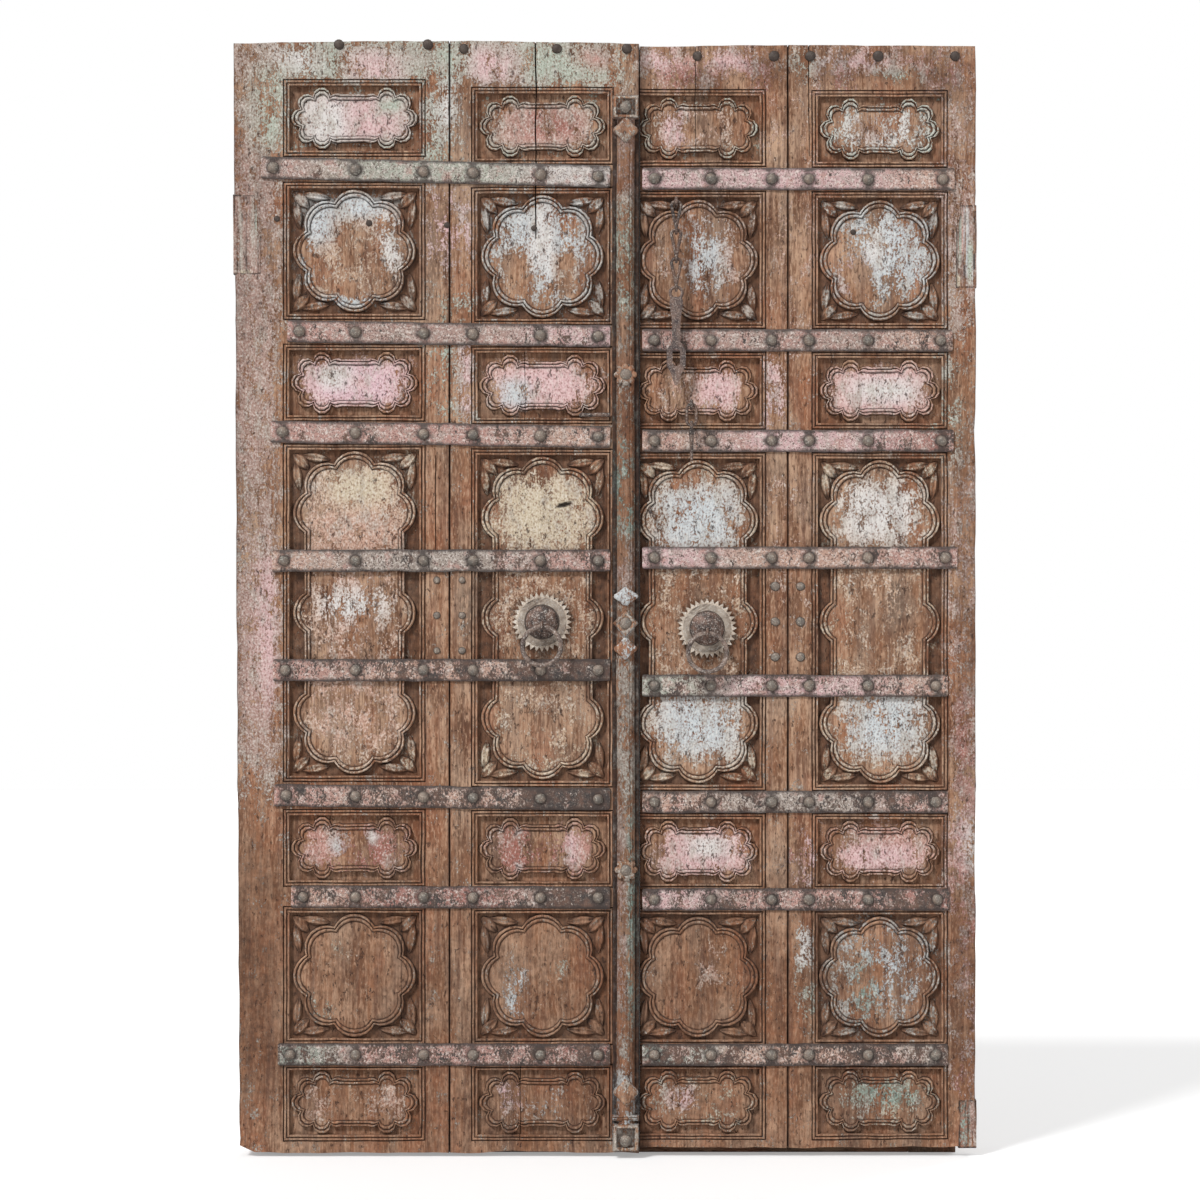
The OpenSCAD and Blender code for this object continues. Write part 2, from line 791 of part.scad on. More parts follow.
module bar(z, h) {
  color(wood_colour)
    difference() {
      union() {
        translate([-jamb_inner, frame_front, z])
          cube([2 * jamb_inner, frame_d, h]);
        bar_tenons(z, h);
      }
      pegs_at(z, h)
        translate([0, -over, 0])
          rotate([-90, 0, 0])
            cylinder(r = peg_r + nail_room, h = frame_d + 2 * over);
    }
}

module pegs_at(z, h) {
  for (s = [-1, 1]) {
    translate([s * (jamb_inner + tenon_l / 2), frame_front, z + h / 2])
      children();
  }
}

module pegs() {
  color(pale_wood_colour) {
    pegs_at(0, sill_h)
      rotate([-90, 0, 0])
        cylinder(r = peg_r, h = frame_d);
    pegs_at(frame_h - head_h, head_h)
      rotate([-90, 0, 0])
        cylinder(r = peg_r, h = frame_d);
  }
}

module mortise(l, z, h) {
  w = tenon_l + seat_room + over;
  translate([l == 0 ? -jamb_inner + over - w : jamb_inner - over, -tenon_t / 2 - seat_room,
      z + tenon_cut - seat_room])
    cube([w, tenon_t + 2 * seat_room, h - 2 * tenon_cut + 2 * seat_room]);
}

module jamb(l) {
  x0 = l == 0 ? -jamb_outer : jamb_inner;
  color(wood_colour)
    difference() {
      translate([x0, frame_front, 0])
        cube([jamb_w, frame_d, frame_h]);
      mortise(l, 0, sill_h);
      mortise(l, frame_h - head_h, head_h);
      for (z = [sill_h / 2, frame_h - head_h / 2]) {
        hole(side[l] * (jamb_inner + tenon_l / 2), frame_front - over, z,
          peg_r + nail_room, frame_d + 2 * over);
      }
      for (i = hinge_rows) {
        translate([side[l] * (jamb_outer + over), pivot_y, spike_z(l, i)])
          rotate([0, l == 0 ? 90 : -90, 0])
            cylinder(r = spike_r + nail_room, h = shank_in + over);
      }
      for (z = [bolt_low, frame_h - bolt_drop]) {
        translate([x0 - over, frame_d / 6, z])
          rotate([0, 90, 0])
            cylinder(r = bolt_r, h = jamb_w + 2 * over);
      }
    }
}

foot_diamond_up = 112;
top_diamond_down = 66;
diamond_pitch = 48;
diamond_z = [
  astragal_foot + foot_diamond_up, astragal_mid - diamond_pitch, astragal_mid, astragal_mid + diamond_pitch,
  astragal_up - top_diamond_down
];
block_y = astragal_base_h + astragal_r - 1.5;
foot_block_h = 52;
top_block_h = 44;
module astragal() {
  foot = astragal_foot;
  top = astragal_up;
  color(wood_colour)
    difference() {
      union() {
        translate([astragal_x, leaf_front, foot])
          linear_extrude(top - foot)
            difference() {
              union() {
                translate([-astragal_w / 2, -astragal_base_h])
                  square([astragal_w, astragal_base_h]);
                intersection() {
                  translate([0, -astragal_base_h + 1])
                    circle(astragal_r, $fn = 64);
                  translate([-astragal_r, -2 * astragal_r - astragal_base_h])
                    square([2 * astragal_r, 2 * astragal_r + astragal_base_h]);
                }
              }
              for (a = [-32, 32]) {
                translate([0, -astragal_base_h + 1])
                  rotate(a)
                    translate([0, -astragal_r - 0.6])
                      circle(2.4, $fn = 24);
              }
            }
        for (z = diamond_z) {
          translate([astragal_x, leaf_front, z])
            rotate([90, 0, 0])
              linear_extrude(block_y + 3)
                rotate(45)
                  square(diamond_r * sqrt(2), center = true);
        }
        for (z = disc_z) {
          translate([astragal_x, leaf_front, z])
            rotate([90, 0, 0])
              cylinder(r = astragal_nail_r + 4, h = block_y + 3);
        }
        for (z = [[foot, foot_block_h], [top - top_block_h, top_block_h]]) {
          translate([astragal_x - astragal_w / 2, leaf_front - block_y - 3, z[0]])
            cube([astragal_w, block_y + 3, z[1]]);
        }
        translate([astragal_x - astragal_w / 2, leaf_front - block_y - 1, foot + foot_block_h + 6])
          cube([astragal_w, block_y + 1, 10]);
      }
      for (z = astragal_nail_z) {
        hole(astragal_x, leaf_front - 2 * block_y, z, shank_r + nail_room, 2 * block_y + over);
      }
    }
}

module astragal_nails() {
  color(iron_colour)
    for (z = astragal_nail_z) {
      translate([astragal_x, leaf_front - block_y - 3, z])
        nail(astragal_nail_r, astragal_nail_r * 0.6, block_y + 3 + blind_l, false);
    }
}

module catch_bar() {
  color(iron_colour)
    translate([catch_x, leaf_front - catch_r - 2, catch_z]) {
      rotate([0, -90, 0])
        cylinder(r = catch_r, h = catch_l - catch_r);
      translate([catch_r - catch_l, 0, 0])
        sphere(catch_r);
      hole(catch_r - catch_l, 0, 0, catch_r, catch_r + blind_l);
    }
}

module broken_staple() {
  color(iron_colour)
    translate([broken_x, leaf_front - 14, broken_z]) {
      hole(0, 0, 0, wire_r, 12 + blind_l);
      sphere(wire_r + 0.6);
      rotate([0, 165, 0])
        cylinder(r = wire_r, h = 18);
    }
}

module pull_plate(l) {
  color(plate_colour)
    difference() {
      translate([pull_x[l], leaf_front, pull_z[l]])
        rotate([90, 0, 0])
          union() {
            linear_extrude(plate_t)
              polygon([for (n = [0:2 * teeth - 1])
                let (a = 180 * n / teeth, r = plate_r - (n % 2) * tooth_d)
                [r * cos(a), r * sin(a)]]);
            rotate_extrude()
              polygon([
                [0, plate_t / 2], [plate_r - tooth_d - 4, plate_t / 2],
                [plate_r - tooth_d - 4, plate_t + 1], [boss_r + 3, plate_t + 4], [0, plate_t + 4]
              ]);
          }
      pull_leg_holes(l);
    }
}

module pull_leg_holes(l) {
  for (s = [-1, 1]) {
    hole(pull_x[l], leaf_front - ring_stand, pull_z[l] - staple_drop + s * (staple_in[0] + wire_r),
      wire_r + nail_room, ring_stand + over);
  }
}

module pull_boss(l) {
  dome_r = (boss_r * boss_r + boss_h * boss_h) / (2 * boss_h);
  color(plate_colour)
    difference() {
      translate([pull_x[l], leaf_front - plate_t - 4, pull_z[l]])
        rotate([90, 0, 0])
          rotate_extrude()
            intersection() {
              translate([0, boss_h - dome_r])
                circle(dome_r, $fn = 72);
              square([boss_r, boss_h]);
            }
      pull_leg_holes(l);
    }
}

module pull_staple(l) {
  color(iron_colour)
    translate([pull_x[l], leaf_front - ring_stand, pull_z[l] - staple_drop])
      staple(staple_in[0], wire_r, ring_stand);
}

module ring(l) {
  r = ring_r - ring_wire_r;
  color(iron_colour)
    translate([pull_x[l], leaf_front - ring_stand, pull_z[l] - staple_drop - r])
      rotate([90, 0, 0])
        rotate_extrude()
          translate([r, 0])
            circle(ring_wire_r, $fn = 32);
}

chain_y = leaf_front - chain_stand;
module hung_staple(x, z) {
  color(iron_colour)
    translate([x, chain_y, z])
      staple(staple_in[1], wire_r, chain_stand);
}

// A wire from one point to another in the plane of X and Z
module wire(a, b, r) {
  d = b - a;
  translate([a[0], 0, a[1]])
    rotate([0, atan2(d[0], d[1]), 0])
      cylinder(r = r, h = norm(d));
}

// A small eye in the plane of Y and Z, with its middle at the origin
module small_eye() {
  rotate([0, 90, 0])
    rotate_extrude()
      translate([2 * wire_r + eye_room, 0])
        circle(wire_r, $fn = 32);
}

// A bow open to the front, with the middle of its top wire at the origin
module bow() {
  translate([0, 0, -bow_r])
    rotate([90, 0, 0])
      rotate_extrude(angle = 180)
        translate([bow_r, 0])
          circle(wire_r, $fn = 32);
}

neck = 3 * wire_r + eye_room;
module chain_link(n) {
  color(iron_colour)
    translate([chain_at_x, chain_y, chain_z - (n - 1) * link_pitch]) {
      bow();
      for (s = [-1, 1]) {
        wire([s * bow_r, -bow_r], [s * wire_r * 0.4, neck - link_pitch], wire_r);
        translate([s * bow_r, 0, -bow_r])
          sphere(wire_r + 0.25);
      }
      translate([0, 0, neck - link_pitch])
        sphere(wire_r * 1.5);
      translate([0, 0, -link_pitch])
        small_eye();
    }
}

module hasp_shape() {
  top = -2 * hasp_eye_r;
  mid = slot_l / 2 + 36 - hasp_l;
  difference() {
    polygon([
      [-11, top + 4], [11, top + 4], [13, top - 6], [8, top - 42], [8, mid + slot_l / 2 + 12],
      [hasp_w / 2, mid + slot_l / 2 - 4], [hasp_w / 2, mid - slot_l / 2 + 2], [10, mid - slot_l / 2 - 14],
      [2.5, -hasp_l], [-2.5, -hasp_l],
      [-10, mid - slot_l / 2 - 14], [-hasp_w / 2, mid - slot_l / 2 + 2],
      [-hasp_w / 2, mid + slot_l / 2 - 4], [-8, mid + slot_l / 2 + 12], [-8, top - 42], [-13, top - 6]
    ]);
    for (s = [-1, 1]) {
      translate([0, mid + s * (slot_l - slot_w) / 2])
        circle(slot_w / 2);
    }
    translate([0, mid])
      square([slot_w, slot_l - slot_w], center = true);
  }
}

module hasp() {
  color(iron_colour)
    translate([chain_at_x, chain_y, chain_z - 3 * link_pitch]) {
      translate([0, 0, -hasp_eye_r])
        rotate([90, 0, 0])
          rotate_extrude()
            translate([hasp_eye_r, 0])
              circle(wire_r, $fn = 32);
      translate([0, hasp_t / 2, 0])
        rotate([90, 0, 0])
          linear_extrude(hasp_t)
            hasp_shape();
    }
}

module pin_link() {
  color(iron_colour)
    translate([pin_at_x, chain_y, pin_z]) {
      bow();
      translate([0, 0, -pin_link_l])
        mirror([0, 0, 1])
          bow();
      for (s = [-1, 1]) {
        wire([s * bow_r, -bow_r], [s * bow_r, bow_r - pin_link_l], wire_r);
      }
    }
}

module locking_pin() {
  eye = 2 * wire_r + eye_room;
  color(iron_colour)
    translate([pin_at_x, chain_y, pin_z - pin_link_l]) {
      small_eye();
      translate([0, 0, -pin_l])
        cylinder(r1 = 2.5, r2 = 5, h = pin_l - eye);
    }
}

module left_outer_plank() {
  color(paint_colour)
    plank(0);
}

module left_meeting_plank() {
  color(paint_colour)
    plank(1);
}

module right_meeting_plank() {
  color(paint_colour)
    plank(2);
}

module right_outer_plank() {
  color(paint_colour)
    plank(3);
}

module head() {
  bar(frame_h - head_h, head_h);
}

module sill() {
  bar(0, sill_h);
}

jamb(0);  // frame_left_jamb
jamb(1);  // frame_right_jamb
head();  // frame_head
sill();  // frame_sill
pegs();  // frame_pegs
pintles(0);  // left_pintles
pintles(1);  // right_pintles
left_outer_plank();
left_meeting_plank();
right_meeting_plank();
right_outer_plank();
strap(0, 0);  // left_strap_1
strap(0, 1);  // left_strap_2
strap(0, 2);  // left_strap_3
strap(0, 3);  // left_strap_4
strap(0, 4);  // left_strap_5
strap(0, 5);  // left_strap_6
strap(0, 6);  // left_strap_7
strap(0, 7);  // left_strap_8
strap(1, 0);  // right_strap_1
strap(1, 1);  // right_strap_2
strap(1, 2);  // right_strap_3
strap(1, 3);  // right_strap_4
strap(1, 4);  // right_strap_5
strap(1, 5);  // right_strap_6
strap(1, 6);  // right_strap_7
strap(1, 7);  // right_strap_8
studs(0);  // left_studs
studs(1);  // right_studs
nails(0);  // left_nails
nails(1);  // right_nails
ledges(0);  // left_ledges
ledges(1);  // right_ledges
hinge_straps(0);  // left_hinge_straps
hinge_straps(1);  // right_hinge_straps
patch(0);  // left_patch
patch(1);  // right_upper_patch
patch(2);  // right_lower_patch
astragal();
astragal_nails();
catch_bar();
broken_staple();
pull_plate(0);  // left_pull_plate
pull_plate(1);  // right_pull_plate
pull_boss(0);  // left_pull_boss
pull_boss(1);  // right_pull_boss
pull_staple(0);  // left_pull_staple
pull_staple(1);  // right_pull_staple
ring(0);  // left_ring
ring(1);  // right_ring
hung_staple(chain_at_x, chain_z);  // chain_staple
chain_link(1);  // chain_link_1
chain_link(2);  // chain_link_2
chain_link(3);  // chain_link_3
hasp();
hung_staple(pin_at_x, pin_z);  // pin_staple
pin_link();
locking_pin();
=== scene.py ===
# %% [markdown]
# # An old painted double door
# Two leaves of thick carved planks hang on a plain timber frame. Each leaf is held by eight iron straps,
# and a half-round cover strip hides the gap between them. The carving was painted pink, mint and white
# long ago, and most of that paint has worn off. We load the measured frame first, because every piece we
# model has to ride on one of its bodies.

# %% Load the frame
import math
import random
import bmesh
import bpy
import numpy as np
from mathutils import Matrix, Vector, noise


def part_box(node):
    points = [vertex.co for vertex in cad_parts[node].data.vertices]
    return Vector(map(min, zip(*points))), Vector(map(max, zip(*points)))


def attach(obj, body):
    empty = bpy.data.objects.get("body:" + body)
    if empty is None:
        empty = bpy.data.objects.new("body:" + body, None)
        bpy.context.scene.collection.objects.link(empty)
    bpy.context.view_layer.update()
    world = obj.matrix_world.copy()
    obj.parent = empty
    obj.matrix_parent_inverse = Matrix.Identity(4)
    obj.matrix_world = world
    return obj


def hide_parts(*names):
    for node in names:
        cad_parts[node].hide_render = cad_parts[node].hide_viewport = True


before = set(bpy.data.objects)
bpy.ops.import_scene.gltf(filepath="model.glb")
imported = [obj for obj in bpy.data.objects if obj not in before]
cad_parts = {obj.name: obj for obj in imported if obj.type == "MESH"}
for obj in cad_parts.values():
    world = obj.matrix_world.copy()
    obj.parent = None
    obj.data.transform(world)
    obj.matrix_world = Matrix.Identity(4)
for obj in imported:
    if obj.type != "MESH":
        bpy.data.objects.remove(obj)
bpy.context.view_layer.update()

# %% [markdown]
# ## Sizes
# All the modelling below is done in millimetres, and each piece is scaled to metres when it is finished.
# The front of the door faces -Y. Rows of panels are counted from the foot up: a low one, a square one,
# a low one, a tall one, and then the same again in reverse. No two planks were carved quite alike, so each
# has its own heights.

# %% Sizes in millimetres
FRONT, BACK = -92.0, -46.0
PLANKS = {
    "left_outer": dict(lo=-702.25, hi=-298.25, foot=6, top=2116, column=-478.25, wide=272,
                       rows=[102.5, 344, 586.5, 1033.5, 1470.5, 1721, 1973.5]),
    "left_meeting": dict(lo=-296.75, hi=62.25, foot=6, top=2116, column=-120.75, wide=272,
                         rows=[102.5, 343, 584.5, 1023.5, 1465.5, 1711, 1958.5]),
    "right_meeting": dict(lo=64.75, hi=344.75, foot=16, top=2110, column=174.75, wide=260,
                          rows=[104.5, 341, 579.5, 1016.5, 1455.5, 1704, 1954.5]),
    "right_outer": dict(lo=346.25, hi=702.25, foot=16, top=2110, column=520.25, wide=260,
                        rows=[104.5, 341, 579.5, 1016.5, 1455.5, 1703, 1952.5]),
}
KINDS = ["low", "square", "low", "tall", "low", "square", "low"]
HIGH = {"low": 149, "square": 264, "tall": 645}
BORDER_W = 13
print(f"{len(PLANKS)} planks with {len(KINDS)} panels each")

# %% [markdown]
# ## Colours
# Colours are easiest to pick as they look on a screen, from 0 to 255. Blender wants light values instead,
# so a small function converts them. The words in the palette are used later to say where each paint is.

# %% Palette
def shade(red, green, blue):
    """A screen colour as a linear colour with full alpha."""
    parts = [v / 255 for v in (red, green, blue)]
    return tuple(v / 12.92 if v <= 0.04045 else ((v + 0.055) / 1.055) ** 2.4 for v in parts) + (1.0,)


PALETTE = {
    "pink": shade(207, 171, 172),
    "lilac": shade(210, 177, 186),
    "rose": shade(180, 136, 126),
    "red": shade(148, 92, 82),
    "salmon": shade(188, 152, 134),
    "mint": shade(164, 174, 160),
    "teal": shade(126, 148, 138),
    "ice": shade(188, 195, 198),
    "white": shade(210, 207, 204),
    "cream": shade(194, 180, 156),
    "sand": shade(182, 152, 128),
    "grey": shade(160, 152, 142),
    "blush": shade(162, 134, 124),
}
print("colours in the palette:", len(PALETTE))

# %% [markdown]
# ## Shading nodes
# A material is a tree of nodes. It could be wired by hand in the editor, but a script can repeat it exactly.
# A short helper adds a node, sets its values and joins its sockets, which keeps the trees readable, and four
# more wrap the nodes that come up again and again.

# %% Node helpers
def add(tree, kind, inputs=(), **settings):
    """Adds a shader node; an input is either a value or another node's socket."""
    made = tree.nodes.new("ShaderNode" + kind)
    for key, value in settings.items():
        setattr(made, key, value)
    for key, value in dict(inputs).items():
        if isinstance(value, bpy.types.NodeSocket):
            tree.links.new(value, made.inputs[key])
        else:
            made.inputs[key].default_value = value
    return made


def mix(tree, share, first, second):
    """Mixes two colours by a share."""
    return add(tree, "Mix", {0: share, 6: first, 7: second}, data_type="RGBA").outputs[2]


def ramp(tree, value, low, high, to_low=0.0, to_high=1.0):
    """Maps a value from one range to another and keeps it there."""
    return add(tree, "MapRange", {"Value": value, "From Min": low, "From Max": high,
                                  "To Min": to_low, "To Max": to_high}).outputs["Result"]


def maths(tree, operation, first, second):
    """Adds, subtracts, multiplies or compares two values."""
    return add(tree, "Math", {0: first, 1: second}, operation=operation).outputs[0]


def speckle(tree, vector, scale, detail=4.0, rough=0.6, stretch=(1, 1, 1)):
    """Noise over object coordinates, squeezed along the axes."""
    placed = add(tree, "Mapping", {"Vector": vector, "Scale": stretch}).outputs[0]
    return add(tree, "TexNoise", {"Vector": placed, "Scale": scale, "Detail": detail,
                                  "Roughness": rough}).outputs[0]


# %% [markdown]
# ## Groups of nodes
# Old wood, worn paint and rust are each wanted in several materials. They could be copied into every one, but
# then a change would have to be made in all of them. So each becomes a node group with named sockets, which
# hands back colours and masks.

# %% Group helpers
def group(name, takes, gives):
    """An empty node group with named inputs and outputs."""
    tree = bpy.data.node_groups.new(name, "ShaderNodeTree")
    for label, kind in takes:
        tree.interface.new_socket(label, in_out="INPUT", socket_type="NodeSocket" + kind)
    for label, kind in gives:
        tree.interface.new_socket(label, in_out="OUTPUT", socket_type="NodeSocket" + kind)
    return tree, tree.nodes.new("NodeGroupInput"), tree.nodes.new("NodeGroupOutput")


def use(tree, made, inputs):
    """Places a group in a material, with values of its own."""
    return add(tree, "Group", inputs, node_tree=made)


# %% [markdown]
# ## Old wood
# Brown wood shows wherever the paint is gone. Its broad figure, long fibres and fine pores are three noises
# drawn out along the grain, and larger patches turn it redder or greyer. A wave texture could draw rings
# instead, but planks sawn along the trunk show long streaks.

# %% Old wood
REDDENED, GREYED = shade(150, 90, 62), shade(152, 136, 120)


def build_wood(name, along):
    """A wood group; along is the axis of its grain, 0 for X or 2 for Z."""
    tree, given, out = group(
        name, [("Vector", "Vector"), ("Dark", "Color"), ("Middle", "Color"), ("Pale", "Color")],
        [("Colour", "Color"), ("Fibre", "Float")])
    at, dark, middle, pale = (given.outputs[word] for word in ("Vector", "Dark", "Middle", "Pale"))

    def drawn_out(share):
        return tuple(share if axis == along else 1 for axis in range(3))

    figure = speckle(tree, at, 26, 6, 0.66, drawn_out(0.12))
    fibre = speckle(tree, at, 170, 4, 0.65, drawn_out(0.07))
    flecks = speckle(tree, at, 250, 2, 0.6, drawn_out(0.3))
    blotch = speckle(tree, at, 8, 5, 0.65)
    patches = speckle(tree, at, 13, 5, 0.6, drawn_out(0.4))
    body = mix(tree, ramp(tree, figure, 0.34, 0.62), dark, middle)
    body = mix(tree, ramp(tree, maths(tree, "ADD", fibre, blotch), 0.92, 1.22), body, pale)
    body = mix(tree, ramp(tree, patches, 0.5, 0.64, 0, 0.4), body, REDDENED)
    body = mix(tree, ramp(tree, patches, 0.47, 0.36, 0, 0.35), body, GREYED)
    body = mix(tree, ramp(tree, flecks, 0.54, 0.64, 0, 0.6), body, pale)
    body = mix(tree, ramp(tree, flecks, 0.45, 0.35, 0, 0.6), body, dark)
    tree.links.new(body, out.inputs["Colour"])
    tree.links.new(fibre, out.inputs["Fibre"])
    print(f"{name}: {len(tree.nodes)} nodes")
    return tree


WOOD_UP = build_wood("Wood with upright grain", 2)
WOOD_ACROSS = build_wood("Wood with level grain", 0)

# %% [markdown]
# ## Worn paint
# Old paint comes off in patches and in small chips. A single noise would make round blobs, so a coarse and a
# fine one are added, and the fibres of the wood below have a say too. A flake stays where the sum rises above
# what wear has taken: more cover means fewer gaps.

# %% Worn paint
tree, given, out = group(
    "Worn paint", [("Vector", "Vector"), ("Cover", "Float"), ("Fibre", "Float")], [("Mask", "Float")])
at = given.outputs["Vector"]
big = speckle(tree, at, 32, 8, 0.72, (1, 1, 0.7))
small = speckle(tree, at, 260, 3, 0.65, (1, 1, 0.7))
worn = maths(tree, "ADD", maths(tree, "MULTIPLY", big, 0.6), maths(tree, "MULTIPLY", small, 0.4))
worn = maths(tree, "ADD", worn, maths(tree, "MULTIPLY", given.outputs["Fibre"], 0.15))
even = ramp(tree, worn, 0.44, 0.71)
taken = maths(tree, "SUBTRACT", 1.0, given.outputs["Cover"])
flakes = ramp(tree, maths(tree, "SUBTRACT", even, taken), -0.07, 0.07)
tree.links.new(flakes, out.inputs["Mask"])
WORN = tree
print(f"{WORN.name}: {len(WORN.nodes)} nodes")

# %% [markdown]
# ## Rust
# Hammered iron is never one colour: it has dark scale, brown rust and pale spots that hands have rubbed. The
# group takes these three as inputs, so that a ring can look more handled than a hinge.

# %% Rust
tree, given, out = group(
    "Rusted iron", [("Vector", "Vector"), ("Scale colour", "Color"), ("Rust colour", "Color"),
                    ("Rubbed colour", "Color")], [("Colour", "Color"), ("Rough", "Float")])
at = given.outputs["Vector"]
coarse = speckle(tree, at, 55, 6, 0.65)
fine = speckle(tree, at, 330, 4, 0.65)
body = mix(tree, ramp(tree, coarse, 0.4, 0.62), given.outputs["Scale colour"], given.outputs["Rust colour"])
body = mix(tree, ramp(tree, fine, 0.52, 0.72, 0, 0.8), body, given.outputs["Rubbed colour"])
tree.links.new(body, out.inputs["Colour"])
tree.links.new(ramp(tree, fine, 0.3, 0.7, 0.5, 0.8), out.inputs["Rough"])
RUST = tree
print(f"{RUST.name}: {len(RUST.nodes)} nodes")

# %% [markdown]
# ## Starting a material
# Every material starts from a Principled surface and the object's own coordinates, so that a pattern stays
# with its piece when a leaf swings. Paint, dirt and painted shade are laid on the vertices later, in three
# layers: a tint, a cover, and one that holds dirt together with painted shade. A material reads them back as
# attributes.

# %% Material helpers
def start_material(name):
    """A new material, its tree, its surface and the object's coordinates."""
    made = bpy.data.materials.new(name)
    made.use_nodes = True
    tree = made.node_tree
    at = tree.nodes.new("ShaderNodeTexCoord").outputs["Object"]
    return made, tree, tree.nodes["Principled BSDF"], at


def laid(tree, layer, socket="Fac"):
    """What was laid on the vertices in one layer."""
    return add(tree, "Attribute", attribute_name=layer).outputs[socket]


def bump(tree, surface, height, strength, distance):
    """Roughens a surface by a height."""
    made = add(tree, "Bump", {"Height": height, "Strength": strength, "Distance": distance})
    tree.links.new(made.outputs[0], surface.inputs["Normal"])


# %% [markdown]
# ## Painted wood
# On the planks, chalky paint flakes off brown wood, rain has left upright runs, and dirt together with
# painted shade darkens the carving. One flat mix of two colours would look like a print, so the paint itself
# is greyed in clouds and flecked, and all the wear is put on top in the order in which it came.

# %% Painted wood
PALE_FLECK, WORN_FLECK, RUBBED_WOOD = shade(228, 222, 214), shade(120, 86, 72), shade(140, 92, 62)
RUN_MARK, SOOT_AND_SHADE, PIT = shade(96, 68, 56), shade(38, 28, 24), shade(58, 38, 30)


def chalky_paint(tree, at):
    """The old paint's colour: its tint, greyed in clouds, with pale and worn flecks."""
    cloud = speckle(tree, at, 34, 6, 0.7, (1, 1, 0.5))
    flecks = speckle(tree, at, 270, 2, 0.6, (1, 1, 0.8))
    chalk = mix(tree, ramp(tree, cloud, 0.5, 0.6, 0, 0.6), laid(tree, "tint", "Color"), PALETTE["grey"])
    chalk = mix(tree, ramp(tree, flecks, 0.53, 0.64, 0, 0.42), chalk, PALE_FLECK)
    return mix(tree, ramp(tree, flecks, 0.45, 0.36, 0, 0.7), chalk, WORN_FLECK)


def weather_and_shade(tree, at, colour, flakes, grime_and_shade):
    """Adds upright runs, dirt with painted shade, and small pits; returns the colour and the pits."""
    streak = speckle(tree, at, 75, 5, 0.7, (1, 1, 0.05))
    run = maths(tree, "MULTIPLY", ramp(tree, streak, 0.5, 0.64, 0, 0.5), ramp(tree, flakes, 0, 1, 1, 0.35))
    colour = mix(tree, run, colour, RUN_MARK)
    dust = maths(tree, "MULTIPLY", speckle(tree, at, 70, 6, 0.7), 0.9)
    # Soot where the laid layer is high: dirt, and painted shade in the hollows of the carving.
    colour = mix(tree, ramp(tree, maths(tree, "ADD", grime_and_shade, dust), 0.58, 1.2, 0, 0.95), colour, SOOT_AND_SHADE)
    pits = ramp(tree, speckle(tree, at, 120, 4, 0.7, (1, 1, 0.5)), 0.6, 0.66, 0, 0.8)
    return mix(tree, pits, colour, PIT), pits


def painted_wood(name, wood, dark, middle, pale):
    """Flaking paint over wood, as the layers on the vertices say."""
    made, tree, surface, at = start_material(name)
    grain = use(tree, wood, {"Vector": at, "Dark": dark, "Middle": middle, "Pale": pale})
    grime_and_shade, fibre = laid(tree, "grime_and_shade"), grain.outputs["Fibre"]
    flakes = use(tree, WORN, {"Vector": at, "Cover": laid(tree, "cover"), "Fibre": fibre}).outputs["Mask"]
    bare = mix(tree, ramp(tree, grime_and_shade, 0.12, 0.5, 0, 0.55), grain.outputs["Colour"], RUBBED_WOOD)
    colour = mix(tree, maths(tree, "MULTIPLY", flakes, 0.95), bare, chalky_paint(tree, at))
    colour, pits = weather_and_shade(tree, at, colour, flakes, grime_and_shade)
    tree.links.new(colour, surface.inputs["Base Color"])
    tree.links.new(ramp(tree, flakes, 0, 1, 0.82, 0.66), surface.inputs["Roughness"])
    surface.inputs["Specular IOR Level"].default_value = 0.3
    relief = maths(tree, "ADD", maths(tree, "MULTIPLY", fibre, 0.9), maths(tree, "MULTIPLY", flakes, 0.45))
    relief = maths(tree, "SUBTRACT", relief, maths(tree, "MULTIPLY", pits, 0.8))
    bump(tree, surface, relief, 0.8, 0.0022)
    return made


CARVED = painted_wood("Carved wood with old paint", WOOD_UP,
                      shade(82, 55, 40), shade(140, 100, 74), shade(184, 150, 124))
PATCH = painted_wood("Pale patch wood", WOOD_UP,
                     shade(96, 72, 62), shade(146, 116, 102), shade(186, 160, 146))
print("painted woods:", CARVED.name, "and", PATCH.name)

# %% [markdown]
# ## Bare wood
# The frame, the ledges and the pegs were never painted. They use the same grain with dust over it. Level
# pieces take the group whose grain runs along X, because wood is always cut with its grain along its length.

# %% Bare wood
DUST = shade(60, 46, 38)


def bare_wood(name, wood, dark, middle, pale):
    """Dry, dusty wood without paint."""
    made, tree, surface, at = start_material(name)
    grain = use(tree, wood, {"Vector": at, "Dark": dark, "Middle": middle, "Pale": pale})
    settled = ramp(tree, speckle(tree, at, 9, 6, 0.65), 0.5, 0.75, 0, 0.5)
    tree.links.new(mix(tree, settled, grain.outputs["Colour"], DUST), surface.inputs["Base Color"])
    surface.inputs["Roughness"].default_value = 0.8
    surface.inputs["Specular IOR Level"].default_value = 0.3
    bump(tree, surface, grain.outputs["Fibre"], 0.5, 0.0014)
    return made


FRAME_SHADES = shade(80, 60, 48), shade(118, 92, 74), shade(150, 124, 102)
FRAME_UP = bare_wood("Frame wood upright", WOOD_UP, *FRAME_SHADES)
FRAME_ACROSS = bare_wood("Frame wood level", WOOD_ACROSS, *FRAME_SHADES)
PEG = bare_wood("Pale peg wood", WOOD_ACROSS, shade(120, 92, 68), shade(164, 132, 100), shade(190, 160, 126))
print("bare woods:", ", ".join(made.name for made in (FRAME_UP, FRAME_ACROSS, PEG)))

# %% [markdown]
# ## Irons
# The straps were painted over together with the wood, the studs and plates are bare with dirt and painted
# shade round their feet, and the chain and rings are simply rusty. All three share the rust group, and
# differ in the skin that goes over it. Where paint covers the iron it is no metal any more, so the flakes
# lower Metallic.

